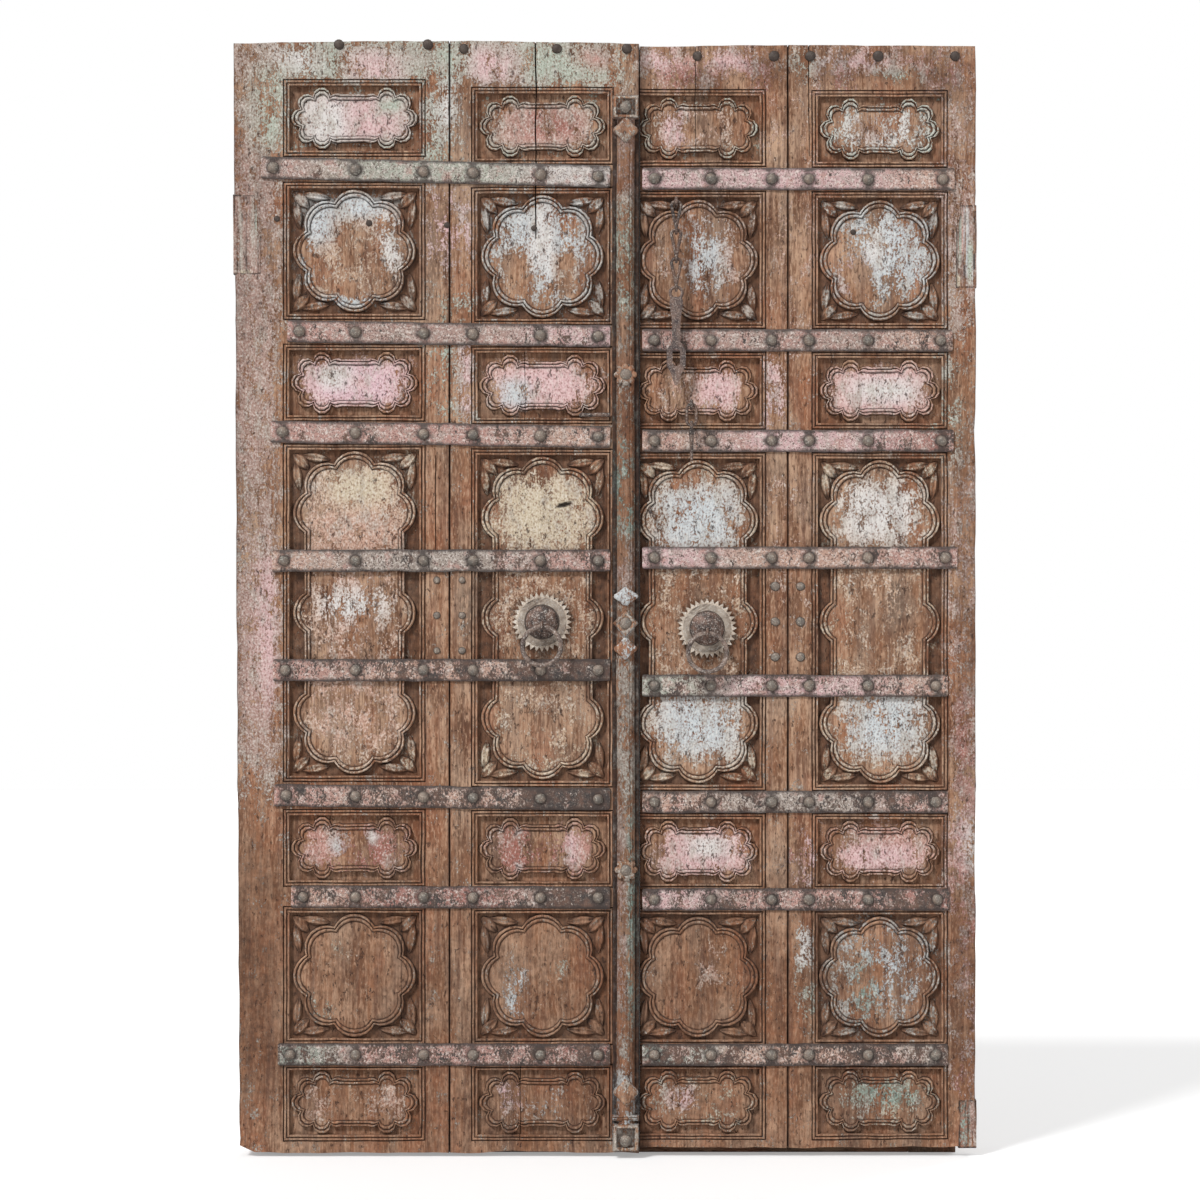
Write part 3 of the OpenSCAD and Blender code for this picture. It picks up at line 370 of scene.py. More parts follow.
# %% Irons
OLD_OIL_AND_SHADE, STRAP_GROUND, STRAP_CHIP = shade(50, 38, 32), shade(126, 96, 84), shade(224, 214, 206)
STRAP_FLECK, STRAP_EDGE = shade(80, 54, 47), shade(48, 37, 33)


def soil_and_shade_over(tree, at, colour):
    """Uneven dirt and painted shade over bare iron."""
    dust = maths(tree, "MULTIPLY", speckle(tree, at, 90, 6, 0.75), 0.9)
    uneven = maths(tree, "ADD", laid(tree, "grime_and_shade"), dust)
    return mix(tree, ramp(tree, uneven, 0.45, 1.25, 0, 0.95), colour, OLD_OIL_AND_SHADE)


def paint_over(tree, at, colour):
    """Flaking paint over rusted iron; returns the colour and the flakes."""
    flakes = use(tree, WORN, {"Vector": at, "Cover": laid(tree, "cover"), "Fibre": 0.5}).outputs["Mask"]
    cloud, stain = speckle(tree, at, 60, 5, 0.7), speckle(tree, at, 28, 6, 0.7)
    chips, flecks = speckle(tree, at, 190, 6, 0.8), speckle(tree, at, 330, 4, 0.7)
    chalk = mix(tree, ramp(tree, cloud, 0.5, 0.58, 0, 0.6), laid(tree, "tint", "Color"), PALETTE["grey"])
    chalk = mix(tree, ramp(tree, stain, 0.52, 0.6, 0, 0.7), chalk, PALETTE["rose"])
    chalk = mix(tree, 0.25, chalk, STRAP_GROUND)
    chalk = mix(tree, ramp(tree, chips, 0.5, 0.6, 0, 0.75), chalk, STRAP_CHIP)
    chalk = mix(tree, ramp(tree, flecks, 0.47, 0.39, 0, 0.9), chalk, STRAP_FLECK)
    colour = mix(tree, maths(tree, "MULTIPLY", flakes, 0.95), colour, chalk)
    # Darker along strap edges and round studs, where the laid layer is high: rust and dirt with painted
    # shade.
    edge = maths(tree, "ADD", laid(tree, "grime_and_shade"), maths(tree, "MULTIPLY", cloud, 1.2))
    return mix(tree, ramp(tree, edge, 0.75, 1.35, 0, 0.9), colour, STRAP_EDGE), flakes


def iron(name, dark, rust, rubbed, metal, skin=None):
    """Rusted iron, plain, soiled with painted shade, or painted."""
    made, tree, surface, at = start_material(name)
    base = use(tree, RUST, {"Vector": at, "Scale colour": dark, "Rust colour": rust, "Rubbed colour": rubbed})
    colour, height = base.outputs["Colour"], base.outputs["Rough"]
    surface.inputs["Metallic"].default_value = metal
    if skin == "soiled_and_shaded":
        colour = soil_and_shade_over(tree, at, colour)
    elif skin == "painted":
        colour, flakes = paint_over(tree, at, colour)
        height = maths(tree, "ADD", height, maths(tree, "MULTIPLY", flakes, 0.3))
        free = maths(tree, "MULTIPLY", maths(tree, "SUBTRACT", 1.0, flakes), metal)
        tree.links.new(free, surface.inputs["Metallic"])
    tree.links.new(colour, surface.inputs["Base Color"])
    tree.links.new(base.outputs["Rough"], surface.inputs["Roughness"])
    bump(tree, surface, height, 0.6, 0.0012)
    return made


# %% [markdown]
# ## Which iron goes where
# Each line below gives the scale, the rust and the rubbed colour, and how metallic the surface is. Old iron
# under rust reflects little, so these values stay low.

# %% The door's irons
STRAP_IRON = iron("Painted strap iron", shade(50, 42, 40), shade(96, 70, 58), shade(140, 130, 120), 0.2,
                  "painted")
STUD_IRON = iron("Forged stud iron", shade(96, 90, 84), shade(128, 112, 100), shade(196, 192, 180), 0.25,
                 "soiled_and_shaded")
DARK_IRON = iron("Dark wrought iron", shade(44, 36, 34), shade(98, 74, 62), shade(206, 196, 186), 0.25)
BOSS_IRON = iron("Dark boss iron", shade(46, 34, 30), shade(112, 86, 74), shade(220, 212, 204), 0.25)
RING_IRON = iron("Worn ring iron", shade(62, 50, 46), shade(132, 112, 100), shade(218, 210, 202), 0.25)
HASP_IRON = iron("Worn hasp iron", shade(58, 47, 46), shade(112, 90, 80), shade(196, 184, 174), 0.25)
PLATE_IRON = iron("Pale plate iron", shade(150, 132, 116), shade(198, 184, 168), shade(240, 238, 232), 0.1,
                  "soiled_and_shaded")
print("materials:", len(bpy.data.materials))

# %% [markdown]
# ## Finishing a piece
# Every piece goes through the same last step: scale to metres, tidy the normals, shade smoothly except over
# sharp edges, and hand it to the body that it moves with. Hand work is never exact, so a second helper moves
# vertices a little by a smooth noise.

# %% Finish helper
noise.seed_set(7)  # left alone, this noise starts from the clock and no two runs are the same


def keep_mesh(bm, name):
    """Writes a bmesh to a new mesh and frees it."""
    mesh = bpy.data.meshes.new(name)
    bm.to_mesh(mesh)
    bm.free()
    return mesh


def finish_piece(bm, name, body, material, stands_for=(), sharp=38):
    """Turns a millimetre bmesh into a finished object that rides on a body."""
    bmesh.ops.scale(bm, vec=(0.001, 0.001, 0.001), verts=bm.verts)
    bmesh.ops.recalc_face_normals(bm, faces=bm.faces)
    mesh = keep_mesh(bm, name)
    mesh.shade_smooth()
    mesh.set_sharp_from_angle(angle=math.radians(sharp))
    mesh.materials.append(material)
    piece = bpy.data.objects.new(name, mesh)
    bpy.context.scene.collection.objects.link(piece)
    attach(piece, body)
    if stands_for:
        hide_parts(*stands_for)
    print(f"{name}: {len(mesh.polygons)} faces")
    return piece


def wobble(bm, verts, amount, pace, seed=0.0):
    """Moves vertices a little: amount by axis in mm, pace is the size of one wave."""
    shift = Vector((seed, seed * 1.7, -seed))
    for vert in verts:
        push = noise.noise_vector(vert.co / pace + shift)
        vert.co += Vector((push.x * amount[0], push.y * amount[1], push.z * amount[2]))


# %% [markdown]
# ## Where the paint is
# Instead of a picture, the paint is described in words, panel by panel: its colour, how much is left, and
# where in the panel it sits. Each word becomes a soft stroke. A stroke is a middle, a reach and a strength,
# and later strokes cover earlier ones, as brush strokes do.

# %% Paint in the panels
# By plank, panels counted from the foot: (colour, cover, across, up, reach across, reach up), from -1 to 1.
PAINTED = {
    "left_outer": [
        [("sand", 0.2, 0, 0, 1.1, 1.1), ("salmon", 0.5, -0.7, 0, 0.3, 0.8),
         ("salmon", 0.5, 0.55, 0, 0.4, 0.8)],
        [("sand", 0.1, 0, 0, 1.1, 1.1), ("mint", 0.5, -0.25, 0.55, 0.08, 0.2),
         ("mint", 0.35, -0.6, -0.5, 0.2, 0.3)],
        [("red", 0.42, 0, 0, 1.1, 1.1), ("rose", 0.7, -0.6, 0, 0.35, 0.8), ("red", 0.7, 0.42, 0.1, 0.3, 0.7),
         ("ice", 0.7, -0.28, 0.1, 0.06, 0.4), ("white", 0.7, 0.3, 0.4, 0.08, 0.3)],
        [("salmon", 0.48, 0, 0, 1.1, 1.1), ("salmon", 0.74, 0, 0.6, 0.9, 0.3),
         ("cream", 0.8, 0.1, 0.8, 0.7, 0.14), ("white", 0.55, 0, 0.05, 0.7, 0.12),
         ("salmon", 0.55, 0, -0.6, 0.9, 0.3)],
        [("lilac", 1.06, 0, 0, 1.02, 1.0), ("white", 0.98, -0.35, 0.2, 0.3, 0.5),
         ("pink", 0.95, 0.1, -0.1, 0.2, 0.3)],
        [("sand", 0.42, 0, 0, 1.1, 1.1), ("ice", 0.92, -0.1, 0.78, 0.8, 0.26),
         ("ice", 0.8, -0.62, 0.45, 0.3, 0.34), ("white", 0.55, 0.66, 0.1, 0.24, 0.6),
         ("ice", 0.5, 0, -0.9, 0.7, 0.12), ("ice", 0.45, -0.85, -0.2, 0.12, 0.5)],
        [("pink", 1.1, 0.05, 0, 1.05, 1.0), ("white", 1.1, -0.5, -0.1, 0.42, 0.9),
         ("mint", 0.95, 0.64, 0.5, 0.25, 0.3)],
    ],
    "left_meeting": [
        [("sand", 0.2, 0, 0, 1.1, 1.1), ("pink", 0.5, -0.6, 0.2, 0.3, 0.7), ("ice", 0.4, 0.1, 0, 0.3, 0.6)],
        [("sand", 0.16, 0, 0, 1.1, 1.1), ("ice", 0.45, -0.5, -0.3, 0.3, 0.6),
         ("mint", 0.35, 0.3, 0.3, 0.3, 0.3)],
        [("red", 0.35, 0.1, 0, 1.1, 1.1), ("red", 0.75, -0.55, 0, 0.25, 0.9),
         ("white", 0.85, -0.42, 0, 0.07, 0.8), ("rose", 0.8, 0.6, 0, 0.25, 0.9),
         ("pink", 0.85, 0.55, 0, 0.07, 0.8)],
        [("sand", 0.45, 0, 0, 1.1, 1.1), ("cream", 0.8, 0, 0.66, 0.95, 0.26),
         ("sand", 0.5, 0, 0.1, 0.9, 0.2)],
        [("pink", 0.9, 0, 0, 1.02, 1.0), ("ice", 0.84, -0.5, -0.3, 0.3, 0.6)],
        [("ice", 0.68, 0, 0.1, 1.0, 1.0), ("white", 0.86, 0, 0.3, 0.2, 0.7),
         ("sand", 0.3, 0.45, -0.3, 0.25, 0.35), ("sand", 0.25, -0.5, -0.3, 0.25, 0.4)],
        [("rose", 0.82, 0, 0, 1.02, 1.0), ("red", 0.7, 0.2, 0.1, 0.5, 0.5)],
    ],
    "right_meeting": [
        [("cream", 0.35, 0.1, 0, 1.0, 1.1), ("pink", 0.5, -0.3, 0.1, 0.3, 0.6)],
        [("sand", 0.16, 0, 0, 1.1, 1.1), ("salmon", 0.42, 0.2, 0.2, 0.4, 0.4)],
        [("pink", 0.84, 0.1, 0, 1.0, 1.0), ("white", 0.85, 0.2, 0.2, 0.4, 0.4)],
        [("sand", 0.42, 0, 0, 1.1, 1.1), ("ice", 0.74, 0, 0.66, 0.95, 0.26),
         ("ice", 0.74, 0, -0.66, 0.95, 0.26)],
        [("salmon", 0.45, -0.4, 0, 0.7, 1.0), ("pink", 0.82, 0.4, 0, 0.45, 0.9)],
        [("salmon", 0.32, 0, 0.1, 1.1, 1.0), ("ice", 0.6, 0.15, 0.0, 0.42, 0.8)],
        [("salmon", 0.35, 0, 0, 1.0, 1.0), ("pink", 0.7, -0.45, 0, 0.25, 0.8)],
    ],
    "right_outer": [
        [("cream", 0.32, 0, 0, 1.0, 1.1), ("teal", 0.58, 0.1, 0.25, 0.85, 0.6),
         ("grey", 0.4, -0.3, -0.4, 0.3, 0.4)],
        [("grey", 0.42, 0, 0, 1.1, 1.1), ("ice", 0.43, 0.1, 0.1, 0.85, 0.85),
         ("teal", 0.5, -0.3, -0.2, 0.25, 0.6)],
        [("rose", 0.66, 0, 0.3, 1.0, 1.0), ("pink", 0.8, 0, -0.2, 0.85, 0.6)],
        [("sand", 0.4, 0, 0, 1.1, 1.1), ("white", 0.72, 0, 0.7, 0.9, 0.24),
         ("ice", 0.74, 0.1, -0.66, 0.9, 0.24)],
        [("pink", 1.02, 0, 0, 1.0, 1.0), ("white", 0.98, 0.1, 0, 0.7, 0.5)],
        [("ice", 0.6, 0.1, 0.1, 1.0, 0.9), ("white", 0.7, -0.1, 0.3, 0.2, 0.4),
         ("rose", 0.35, -0.5, -0.3, 0.3, 0.4)],
        [("white", 0.5, 0, 0, 1.0, 1.0), ("blush", 0.5, -0.2, 0, 0.3, 0.6)],
    ],
}
print("strokes in panels:", sum(len(words) for rows in PAINTED.values() for words in rows))

# %% [markdown]
# ## Paint on rims, rails and stiles
# The rims took more knocks than the fields, so each row has one colour with little cover. On the plain wood
# between the panels the strokes are placed by millimetres. A soil stroke is no paint: it leaves dirt where
# hands, rain and the ground have reached, and round the two pull plates it lays a painted shadow.

# %% Paint outside the panels
# Rims of each row, from the foot up: (colour, cover).
RIM_PAINT = [("grey", 0.22), ("grey", 0.24), ("salmon", 0.2), ("cream", 0.28), ("salmon", 0.22),
             ("grey", 0.36), ("mint", 0.38)]
# Rails and stiles: (colour, cover, x, z, reach x, reach z).
PLAIN = [
    ("grey", 0.3, -320, 1900, 420, 420), ("salmon", 0.25, 380, 1900, 400, 420),
    ("mint", 0.74, -420, 2085, 330, 42), ("white", 0.7, -600, 2085, 60, 30),
    ("pink", 0.7, -440, 2070, 60, 26), ("grey", 0.72, -350, 2085, 40, 30), ("pink", 0.76, -205, 2075, 60, 40),
    ("mint", 0.76, -60, 2075, 120, 45), ("rose", 0.7, -20, 2080, 40, 20), ("pink", 0.8, 110, 2085, 50, 26),
    ("rose", 0.55, 180, 2065, 60, 30), ("pink", 0.85, 250, 2090, 60, 20), ("mint", 0.55, 400, 2075, 60, 34),
    ("pink", 0.72, 480, 2092, 90, 18), ("rose", 0.5, 600, 2085, 60, 30), ("mint", 0.5, 560, 2055, 60, 20),
    ("blush", 0.62, -680, 1900, 70, 300), ("mint", 0.6, -640, 1990, 40, 90),
    ("blush", 0.7, -672, 1480, 60, 330), ("blush", 0.72, -665, 950, 62, 280),
    ("pink", 0.7, -650, 1000, 20, 160), ("soil", 0.42, -665, 330, 74, 330), ("grey", 0.3, -690, 120, 30, 120),
    ("soil", 0.27, 0, 200, 900, 440), ("soil", 0.3, 420, 2075, 290, 50), ("soil", 0.3, 690, 800, 36, 900),
    ("soil", 0.3, -700, 1400, 30, 800), ("soil", 0.26, -660, 1750, 40, 260),
    # The first two strokes below are painted shadows round the pull plates, set a little below and to the
    # right.
    ("soil", 0.62, -118, 1010, 62, 62), ("soil", 0.62, 196, 998, 62, 62), ("mint", 0.75, 690, 1850, 8, 60),
    ("white", 0.7, 684, 1830, 6, 40), ("red", 0.6, 150, 2048, 60, 24), ("red", 0.55, 300, 2050, 40, 34),
    ("red", 0.5, 440, 2040, 50, 20), ("red", 0.5, 650, 2060, 50, 40), ("soil", 0.4, 190, 2040, 50, 22),
    ("soil", 0.42, 320, 2060, 40, 40), ("soil", 0.36, 640, 2040, 60, 60), ("soil", 0.3, -440, 2098, 40, 12),
    ("soil", 0.25, -660, 1700, 20, 200), ("mint", 0.56, -320, 1960, 30, 120),
    ("white", 0.6, -310, 1990, 20, 60), ("mint", 0.42, -290, 1500, 50, 150),
    ("pink", 0.6, -270, 1480, 20, 90), ("pink", 0.4, -300, 1770, 50, 90), ("rose", 0.55, 676, 560, 40, 130),
    ("pink", 0.72, 686, 610, 20, 70), ("red", 0.55, 684, 330, 22, 190), ("red", 0.55, 688, 470, 16, 120),
    ("blush", 0.4, 668, 260, 26, 150), ("pink", 0.5, 692, 240, 8, 60), ("red", 0.5, 678, 140, 20, 50),
    ("soil", 0.36, 680, 330, 40, 300), ("red", 0.6, 676, 800, 26, 150), ("rose", 0.62, 690, 700, 16, 210),
    ("white", 0.6, 694, 590, 8, 60), ("pink", 0.66, 384, 565, 16, 60), ("white", 0.66, 380, 392, 16, 50),
    ("mint", 0.5, 384, 300, 16, 50), ("red", 0.4, 360, 560, 20, 60), ("blush", 0.5, 670, 1150, 50, 300),
    ("mint", 0.4, 640, 1500, 40, 200), ("salmon", 0.3, 345, 1700, 60, 300), ("pink", 0.6, 320, 1450, 24, 80),
    ("blush", 0.55, 670, 1780, 50, 280), ("salmon", 0.3, 345, 1150, 60, 200),
]
print("strokes on rails and stiles:", len(PLAIN))

# %% [markdown]
# ## Laying the paint
# The strokes are written onto the vertices as three layers: tint, cover, and one for dirt with painted shade.
# They could be painted by hand in vertex paint mode, but numbers in a script can be set again. Zones are
# whole groups of vertices, such as all the leaves of a panel, that get one colour at a given point in the
# list of strokes.

# %% Lay the paint
FACE_ONLY = -60  # soil strokes stop at this depth, so that they don't reach the back


def strokes_of(plank):
    """All strokes in a plank's panels, in millimetres."""
    at = PLANKS[plank]
    listed = []
    for row, words in enumerate(PAINTED[plank]):
        wide, high = at["wide"] / 2 - 30, HIGH[KINDS[row]] / 2 - 26
        for colour, cover, across, up, reach_x, reach_z in words:
            listed.append((colour, cover, at["column"] + across * wide, at["rows"][row] + up * high,
                           reach_x * wide, reach_z * high))
    return listed


def lay_paint(piece, strokes, start=("grey", 0.16), dirt_and_shade=None, dry=None, zones=()):
    """Writes the three layers. A zone is (colour, cover, which vertices)."""
    mesh = piece.data
    place = np.zeros(len(mesh.vertices) * 3)
    mesh.vertices.foreach_get("co", place)
    place = place.reshape(-1, 3) * 1000
    tint = np.tile(np.array(PALETTE[start[0]]), (len(place), 1))
    cover = np.full(len(place), start[1])
    grime_and_shade = np.zeros(len(place)) if dirt_and_shade is None else dirt_and_shade
    for stroke in strokes:
        if stroke == "zones":
            for colour, left, which in zones:
                tint[which], cover[which] = np.array(PALETTE[colour]), left
            continue
        colour, left, x, z, reach_x, reach_z = stroke
        far = ((place[:, 0] - x) / reach_x) ** 4 + ((place[:, 2] - z) / reach_z) ** 4
        weight = np.exp(-1.2 * far)
        if colour == "soil":
            grime_and_shade = np.maximum(grime_and_shade, weight * left * (place[:, 1] < FACE_ONLY))
            continue
        tint += weight[:, None] * (np.array(PALETTE[colour]) - tint)
        cover += weight * (left - cover)
    if dry is not None:
        cover = cover * dry
    for label, values in (("cover", cover), ("grime_and_shade", grime_and_shade)):
        mesh.attributes.new(label, "FLOAT", "POINT").data.foreach_set("value", values.astype(np.float32))
    mesh.attributes.new("tint", "FLOAT_COLOR", "POINT").data.foreach_set(
        "color", tint.astype(np.float32).ravel())


print("strokes in a plank's panels:", len(strokes_of("left_outer")))

# %% [markdown]
# ## Profiles of the carving
# Each panel holds a raised tablet with a double bead round it, and its border has a double fillet. A profile
# is a list of small steps: how far in, how deep below the plank's face, and how dark dirt and painted shade
# make it there. Later, that darkness is found again by the depth alone, so no two steps share one.

# %% Rim and border profiles
RIM = [(-1.3, 10.01, 0.22), (0.0, 10.0, 0.85), (0.6, 3.1, 0.55), (1.4, 1.15, 0.12), (3.0, 0.15, 0.0),
       (4.6, 0.45, 0.06), (6.0, 2.45, 0.55), (7.0, 3.35, 0.85), (8.0, 2.55, 0.55), (9.3, 0.85, 0.1),
       (11.0, 0.3, 0.0), (12.8, 0.95, 0.1), (14.3, 3.05, 0.5), (15.0, 4.3, 0.75), (17.2, 4.05, 0.22),
       (21.0, 4.01, 0.04)]
BORDER = [(0.6, 2.6, 0.6), (1.5, 3.02, 0.8), (2.3, 2.22, 0.6), (3.0, 0.62, 0.15), (3.7, 0.02, 0.0),
          (5.4, 0.03, 0.0), (6.2, 0.52, 0.15), (6.9, 2.62, 0.6), (7.7, 3.03, 0.85), (8.5, 2.42, 0.6),
          (9.2, 0.72, 0.15), (9.9, 0.06, 0.0), (11.8, 0.07, 0.0), (12.5, 0.92, 0.2), (13.0, 10.02, 0.4)]
GRIME_AND_SHADE_AT = {round(depth, 2): dirt_and_shade for _, depth, dirt_and_shade in RIM + BORDER}
print("rim steps:", len(RIM), " border steps:", len(BORDER))

# %% [markdown]
# ## Scalloped outlines
# A carver lays out such a rim with a compass, one arc per scallop, and so do we. Each outline is written as a
# walk: a start, then arcs about the scallops' middles and straight lines, until it comes back to its start.

# %% Walks round the scallops
MARGIN = 1.6  # room between a tablet and its border
RING, LOBE = 0.627, 0.373  # where a rosette's scallops have their middles, and their size, by its radius
LOW_RING, LOW_LOBE = 0.705, 0.295  # the same in a low panel


def lobes_of_rosette(middle, radius, ring, size, angles):
    """Scallop middles and the half sweep of each arc, for some of a rosette's eight scallops."""
    half = math.radians(22.5)
    tip = ring * math.cos(half) + math.sqrt(size ** 2 - (ring * math.sin(half)) ** 2)
    sweep = math.degrees(math.atan2(tip * math.sin(half), tip * math.cos(half) - ring))
    spots = [(middle[0] + ring * radius * math.cos(math.radians(a)),
              middle[1] + ring * radius * math.sin(math.radians(a))) for a in angles]
    return spots, sweep


def walk_low(wide, high, inset):
    """Two part rosettes with seven scallops each, side by side, joined by straight lines."""
    full = high / 2 - MARGIN
    r, reach = full - inset, wide / 2 - MARGIN - full
    size, waist = LOW_LOBE * r, 0.76 * r
    steps, start = [], None
    for sign, turn in ((1, 0), (-1, 180)):
        angles = [turn + a for a in (-135, -90, -45, 0, 45, 90, 135)]
        spots, sweep = lobes_of_rosette((sign * reach, 0), r, LOW_RING, LOW_LOBE, angles)
        lean = math.degrees(math.asin((waist - abs(spots[0][1])) / size))
        first = (spots[0][0] - sign * size * math.cos(math.radians(lean)), -sign * waist)
        part = sweep + 45 - lean
        start = start or first
        steps += [("line", first), ("arc", spots[0], part)]
        steps += [("arc", spot, 2 * sweep) for spot in spots[1:-1]]
        steps.append(("arc", spots[-1], part))
    return start, steps[1:] + [("line", start)]


def walk_square(r):
    """One whole rosette."""
    spots, sweep = lobes_of_rosette((0, 0), r, RING, LOBE, range(0, 360, 45))
    begin = math.radians(-sweep)
    start = (spots[0][0] + LOBE * r * math.cos(begin), spots[0][1] + LOBE * r * math.sin(begin))
    return start, [("arc", spot, 2 * sweep) for spot in spots]


def walk_tall(r, reach):
    """Two half rosettes, one above the other, with straight sides and one more scallop in each."""
    waist, size = 0.815 * r, LOBE * r
    lean = math.degrees(math.acos((waist - RING * r) / size))
    rise = size * math.sin(math.radians(lean))
    steps, start = [], None
    for sign, turn in ((1, 0), (-1, 180)):
        angles = [turn + a for a in (0, 45, 90, 135, 180)]
        spots, sweep = lobes_of_rosette((0, sign * reach), r, RING, LOBE, angles)
        below = (sign * waist, -sign * rise)
        start = start or below
        steps += [("line", below), ("arc", (sign * RING * r, 0), 2 * lean),
                  ("line", (sign * waist, sign * (reach - rise))), ("arc", spots[0], lean + sweep)]
        steps += [("arc", spot, 2 * sweep) for spot in spots[1:-1]]
        steps.append(("arc", spots[-1], lean + sweep))
    return start, steps[1:] + [("line", start)]


def walk_of(kind, wide, high, inset):
    """The outline as a start and steps: ('arc', middle, degrees) or ('line', end)."""
    if kind == "low":
        return walk_low(wide, high, inset)
    full = min(wide, HIGH["square"] - 2 * BORDER_W) / 2 - MARGIN
    if kind == "square":
        return walk_square(full - inset)
    return walk_tall(full - inset, high / 2 - MARGIN - full)


walked = {kind: len(walk_of(kind, 246, high - 2 * BORDER_W, 0)[1]) for kind, high in HIGH.items()}
print("steps round a tablet:", walked)

# %% [markdown]
# ## Drawing an outline
# Blender's spin turns a single vertex about a scallop's middle and leaves an arc of edges behind it, and a
# line is pulled out vertex by vertex. The same walk with a smaller radius gives the next line inwards.

# %% Trace an outline
def pick(geom, kind):
    """The vertices, edges or faces in an operator's result."""
    return [g for g in geom if isinstance(g, kind)]


def pull_point(bm, vert, spot):
    """Extrudes a vertex to a new spot."""
    made = bmesh.ops.extrude_vert_indiv(bm, verts=[vert])["verts"][0]
    made.co = spot
    return made


def trace(bm, kind, wide, high, inset, depth):
    """Draws one outline at a depth and returns its edges."""
    start, steps = walk_of(kind, wide, high, inset)
    before = set(bm.edges)
    first = vert = bm.verts.new((start[0], depth, start[1]))
    for step in steps:
        spot = Vector((step[1][0], depth, step[1][1]))
        if step[0] == "arc":
            made = bmesh.ops.spin(bm, geom=[vert], cent=spot, axis=(0, -1, 0), angle=math.radians(step[2]),
                                  steps=5 if kind == "low" else 8)
            vert = pick(made["geom_last"], bmesh.types.BMVert)[0]
        else:
            begin = vert.co.copy()
            for share in (0.25, 0.5, 0.75, 1.0):
                vert = pull_point(bm, vert, begin.lerp(spot, share))
    bmesh.ops.pointmerge(bm, verts=[vert, first], merge_co=first.co)
    return [edge for edge in bm.edges if edge not in before]


trial = bmesh.new()
print("edges in an outline:", len(trace(trial, "square", 246, 238, 0, 0)))
trial.free()

# %% [markdown]
# ## A carved leaf
# In the corners of the square and tall panels sit three pointed leaves. Each is an arc spun about its own
# chord, with a sunk vein along the middle. One leaf is modelled and then copied, because a carver repeats it
# too.

# %% Carve a leaf
def leaf_mesh():
    """A pointed leaf of length 2 and half width and height 1."""
    bm = bmesh.new()
    tip = bm.verts.new((-1, 0, 0))
    bmesh.ops.spin(bm, geom=[tip], cent=(0, 0, -0.75), axis=(0, 1, 0), angle=2 * math.atan2(1, 0.75), steps=6)
    bmesh.ops.scale(bm, vec=(1, 1, 2.0), verts=bm.verts)
    bmesh.ops.spin(bm, geom=bm.verts[:] + bm.edges[:], cent=(0, 0, 0), axis=(1, 0, 0), angle=2 * math.pi,
                   steps=12, use_merge=True)
    bmesh.ops.remove_doubles(bm, verts=bm.verts, dist=0.001)
    vein = [v for v in bm.verts if abs(v.co.z) < 0.02 and v.co.y < -0.1]
    bmesh.ops.scale(bm, vec=(1, 0.62, 1), verts=vein)
    return keep_mesh(bm, "leaf")


LEAF = leaf_mesh()
print("leaf:", len(LEAF.polygons), "faces")


# %% [markdown]
# ## Copying and cutting
# A copy of a mesh is added to a bmesh and moved by a matrix. Large faces are cut along X and Z, because paint
# on vertices needs vertices to sit on, and a face without any inside can't waver either. Subdividing would
# cut long thin faces badly, so planes cut them instead.

# %% Copy and cut
def everything(bm):
    """All of a bmesh, as the cutting operators want it."""
    return bm.verts[:] + bm.edges[:] + bm.faces[:]


def add_mesh(bm, mesh, matrix):
    """Adds a mesh to a bmesh, moved by a matrix, and returns its vertices."""
    before = set(bm.verts)
    bm.from_mesh(mesh)
    fresh = [v for v in bm.verts if v not in before]
    bmesh.ops.transform(bm, matrix=matrix, verts=fresh)
    return fresh


def with_rims(faces):
    """Faces together with their edges and vertices."""
    return faces + list({e for f in faces for e in f.edges}) + list({v for f in faces for v in f.verts})


def grid_cut(bm, faces, lows, highs, step):
    """Cuts faces along X and Z about every step."""
    for axis in (0, 2):
        count = max(1, round((highs[axis] - lows[axis]) / step))
        for number in range(1, count):
            spot = Vector((0, 0, 0))
            spot[axis] = lows[axis] + (highs[axis] - lows[axis]) * number / count
            faces = [f for f in faces if f.is_valid]
            cut = bmesh.ops.bisect_plane(bm, geom=with_rims(faces), plane_co=spot,
                                         plane_no=Vector((axis == 0, 0, axis == 2)), dist=0.01)
            faces = pick(cut["geom"], bmesh.types.BMFace)


trial = bmesh.new()
print("vertices in a copied leaf:", len(add_mesh(trial, LEAF, Matrix())))
trial.free()

# %% [markdown]
# ## A panel's inside
# The rim lines are bridged one to the next, which gives the double bead. The field is filled and cut into a
# grid, and the sunk ground is filled between the rim and the panel's rectangle. Only six panels are needed:
# three kinds in two widths.

# %% Panel inside
GROUND = 10.02  # depth of the sunk ground
UPRIGHT = Matrix.Rotation(math.pi / 2, 4, "X")  # turns a flat outline to face the front
CORNER_LEAVES = [(46, 24, 5, 5, 45), (62, 19, 18, 10, 8), (62, 19, 10, 18, 82)]  # long, broad, in, up, turn


def add_corner_leaves(bm, wide, high):
    """Three leaves in each corner of a panel."""
    for sx, sz in ((1, 1), (1, -1), (-1, 1), (-1, -1)):
        for long, broad, inward, up, turn in CORNER_LEAVES:
            lie = (Matrix.Translation((sx * wide / 2, 10.4, sz * high / 2))
                   @ Matrix.Diagonal((-sx, 1, -sz, 1)) @ Matrix.Translation((inward, 0, up))
                   @ Matrix.Rotation(-math.radians(turn), 4, "Y")
                   @ Matrix.Translation((long / 2, 0, 0)) @ Matrix.Diagonal((long / 2, 9.0, broad / 2, 1)))
            add_mesh(bm, LEAF, lie)


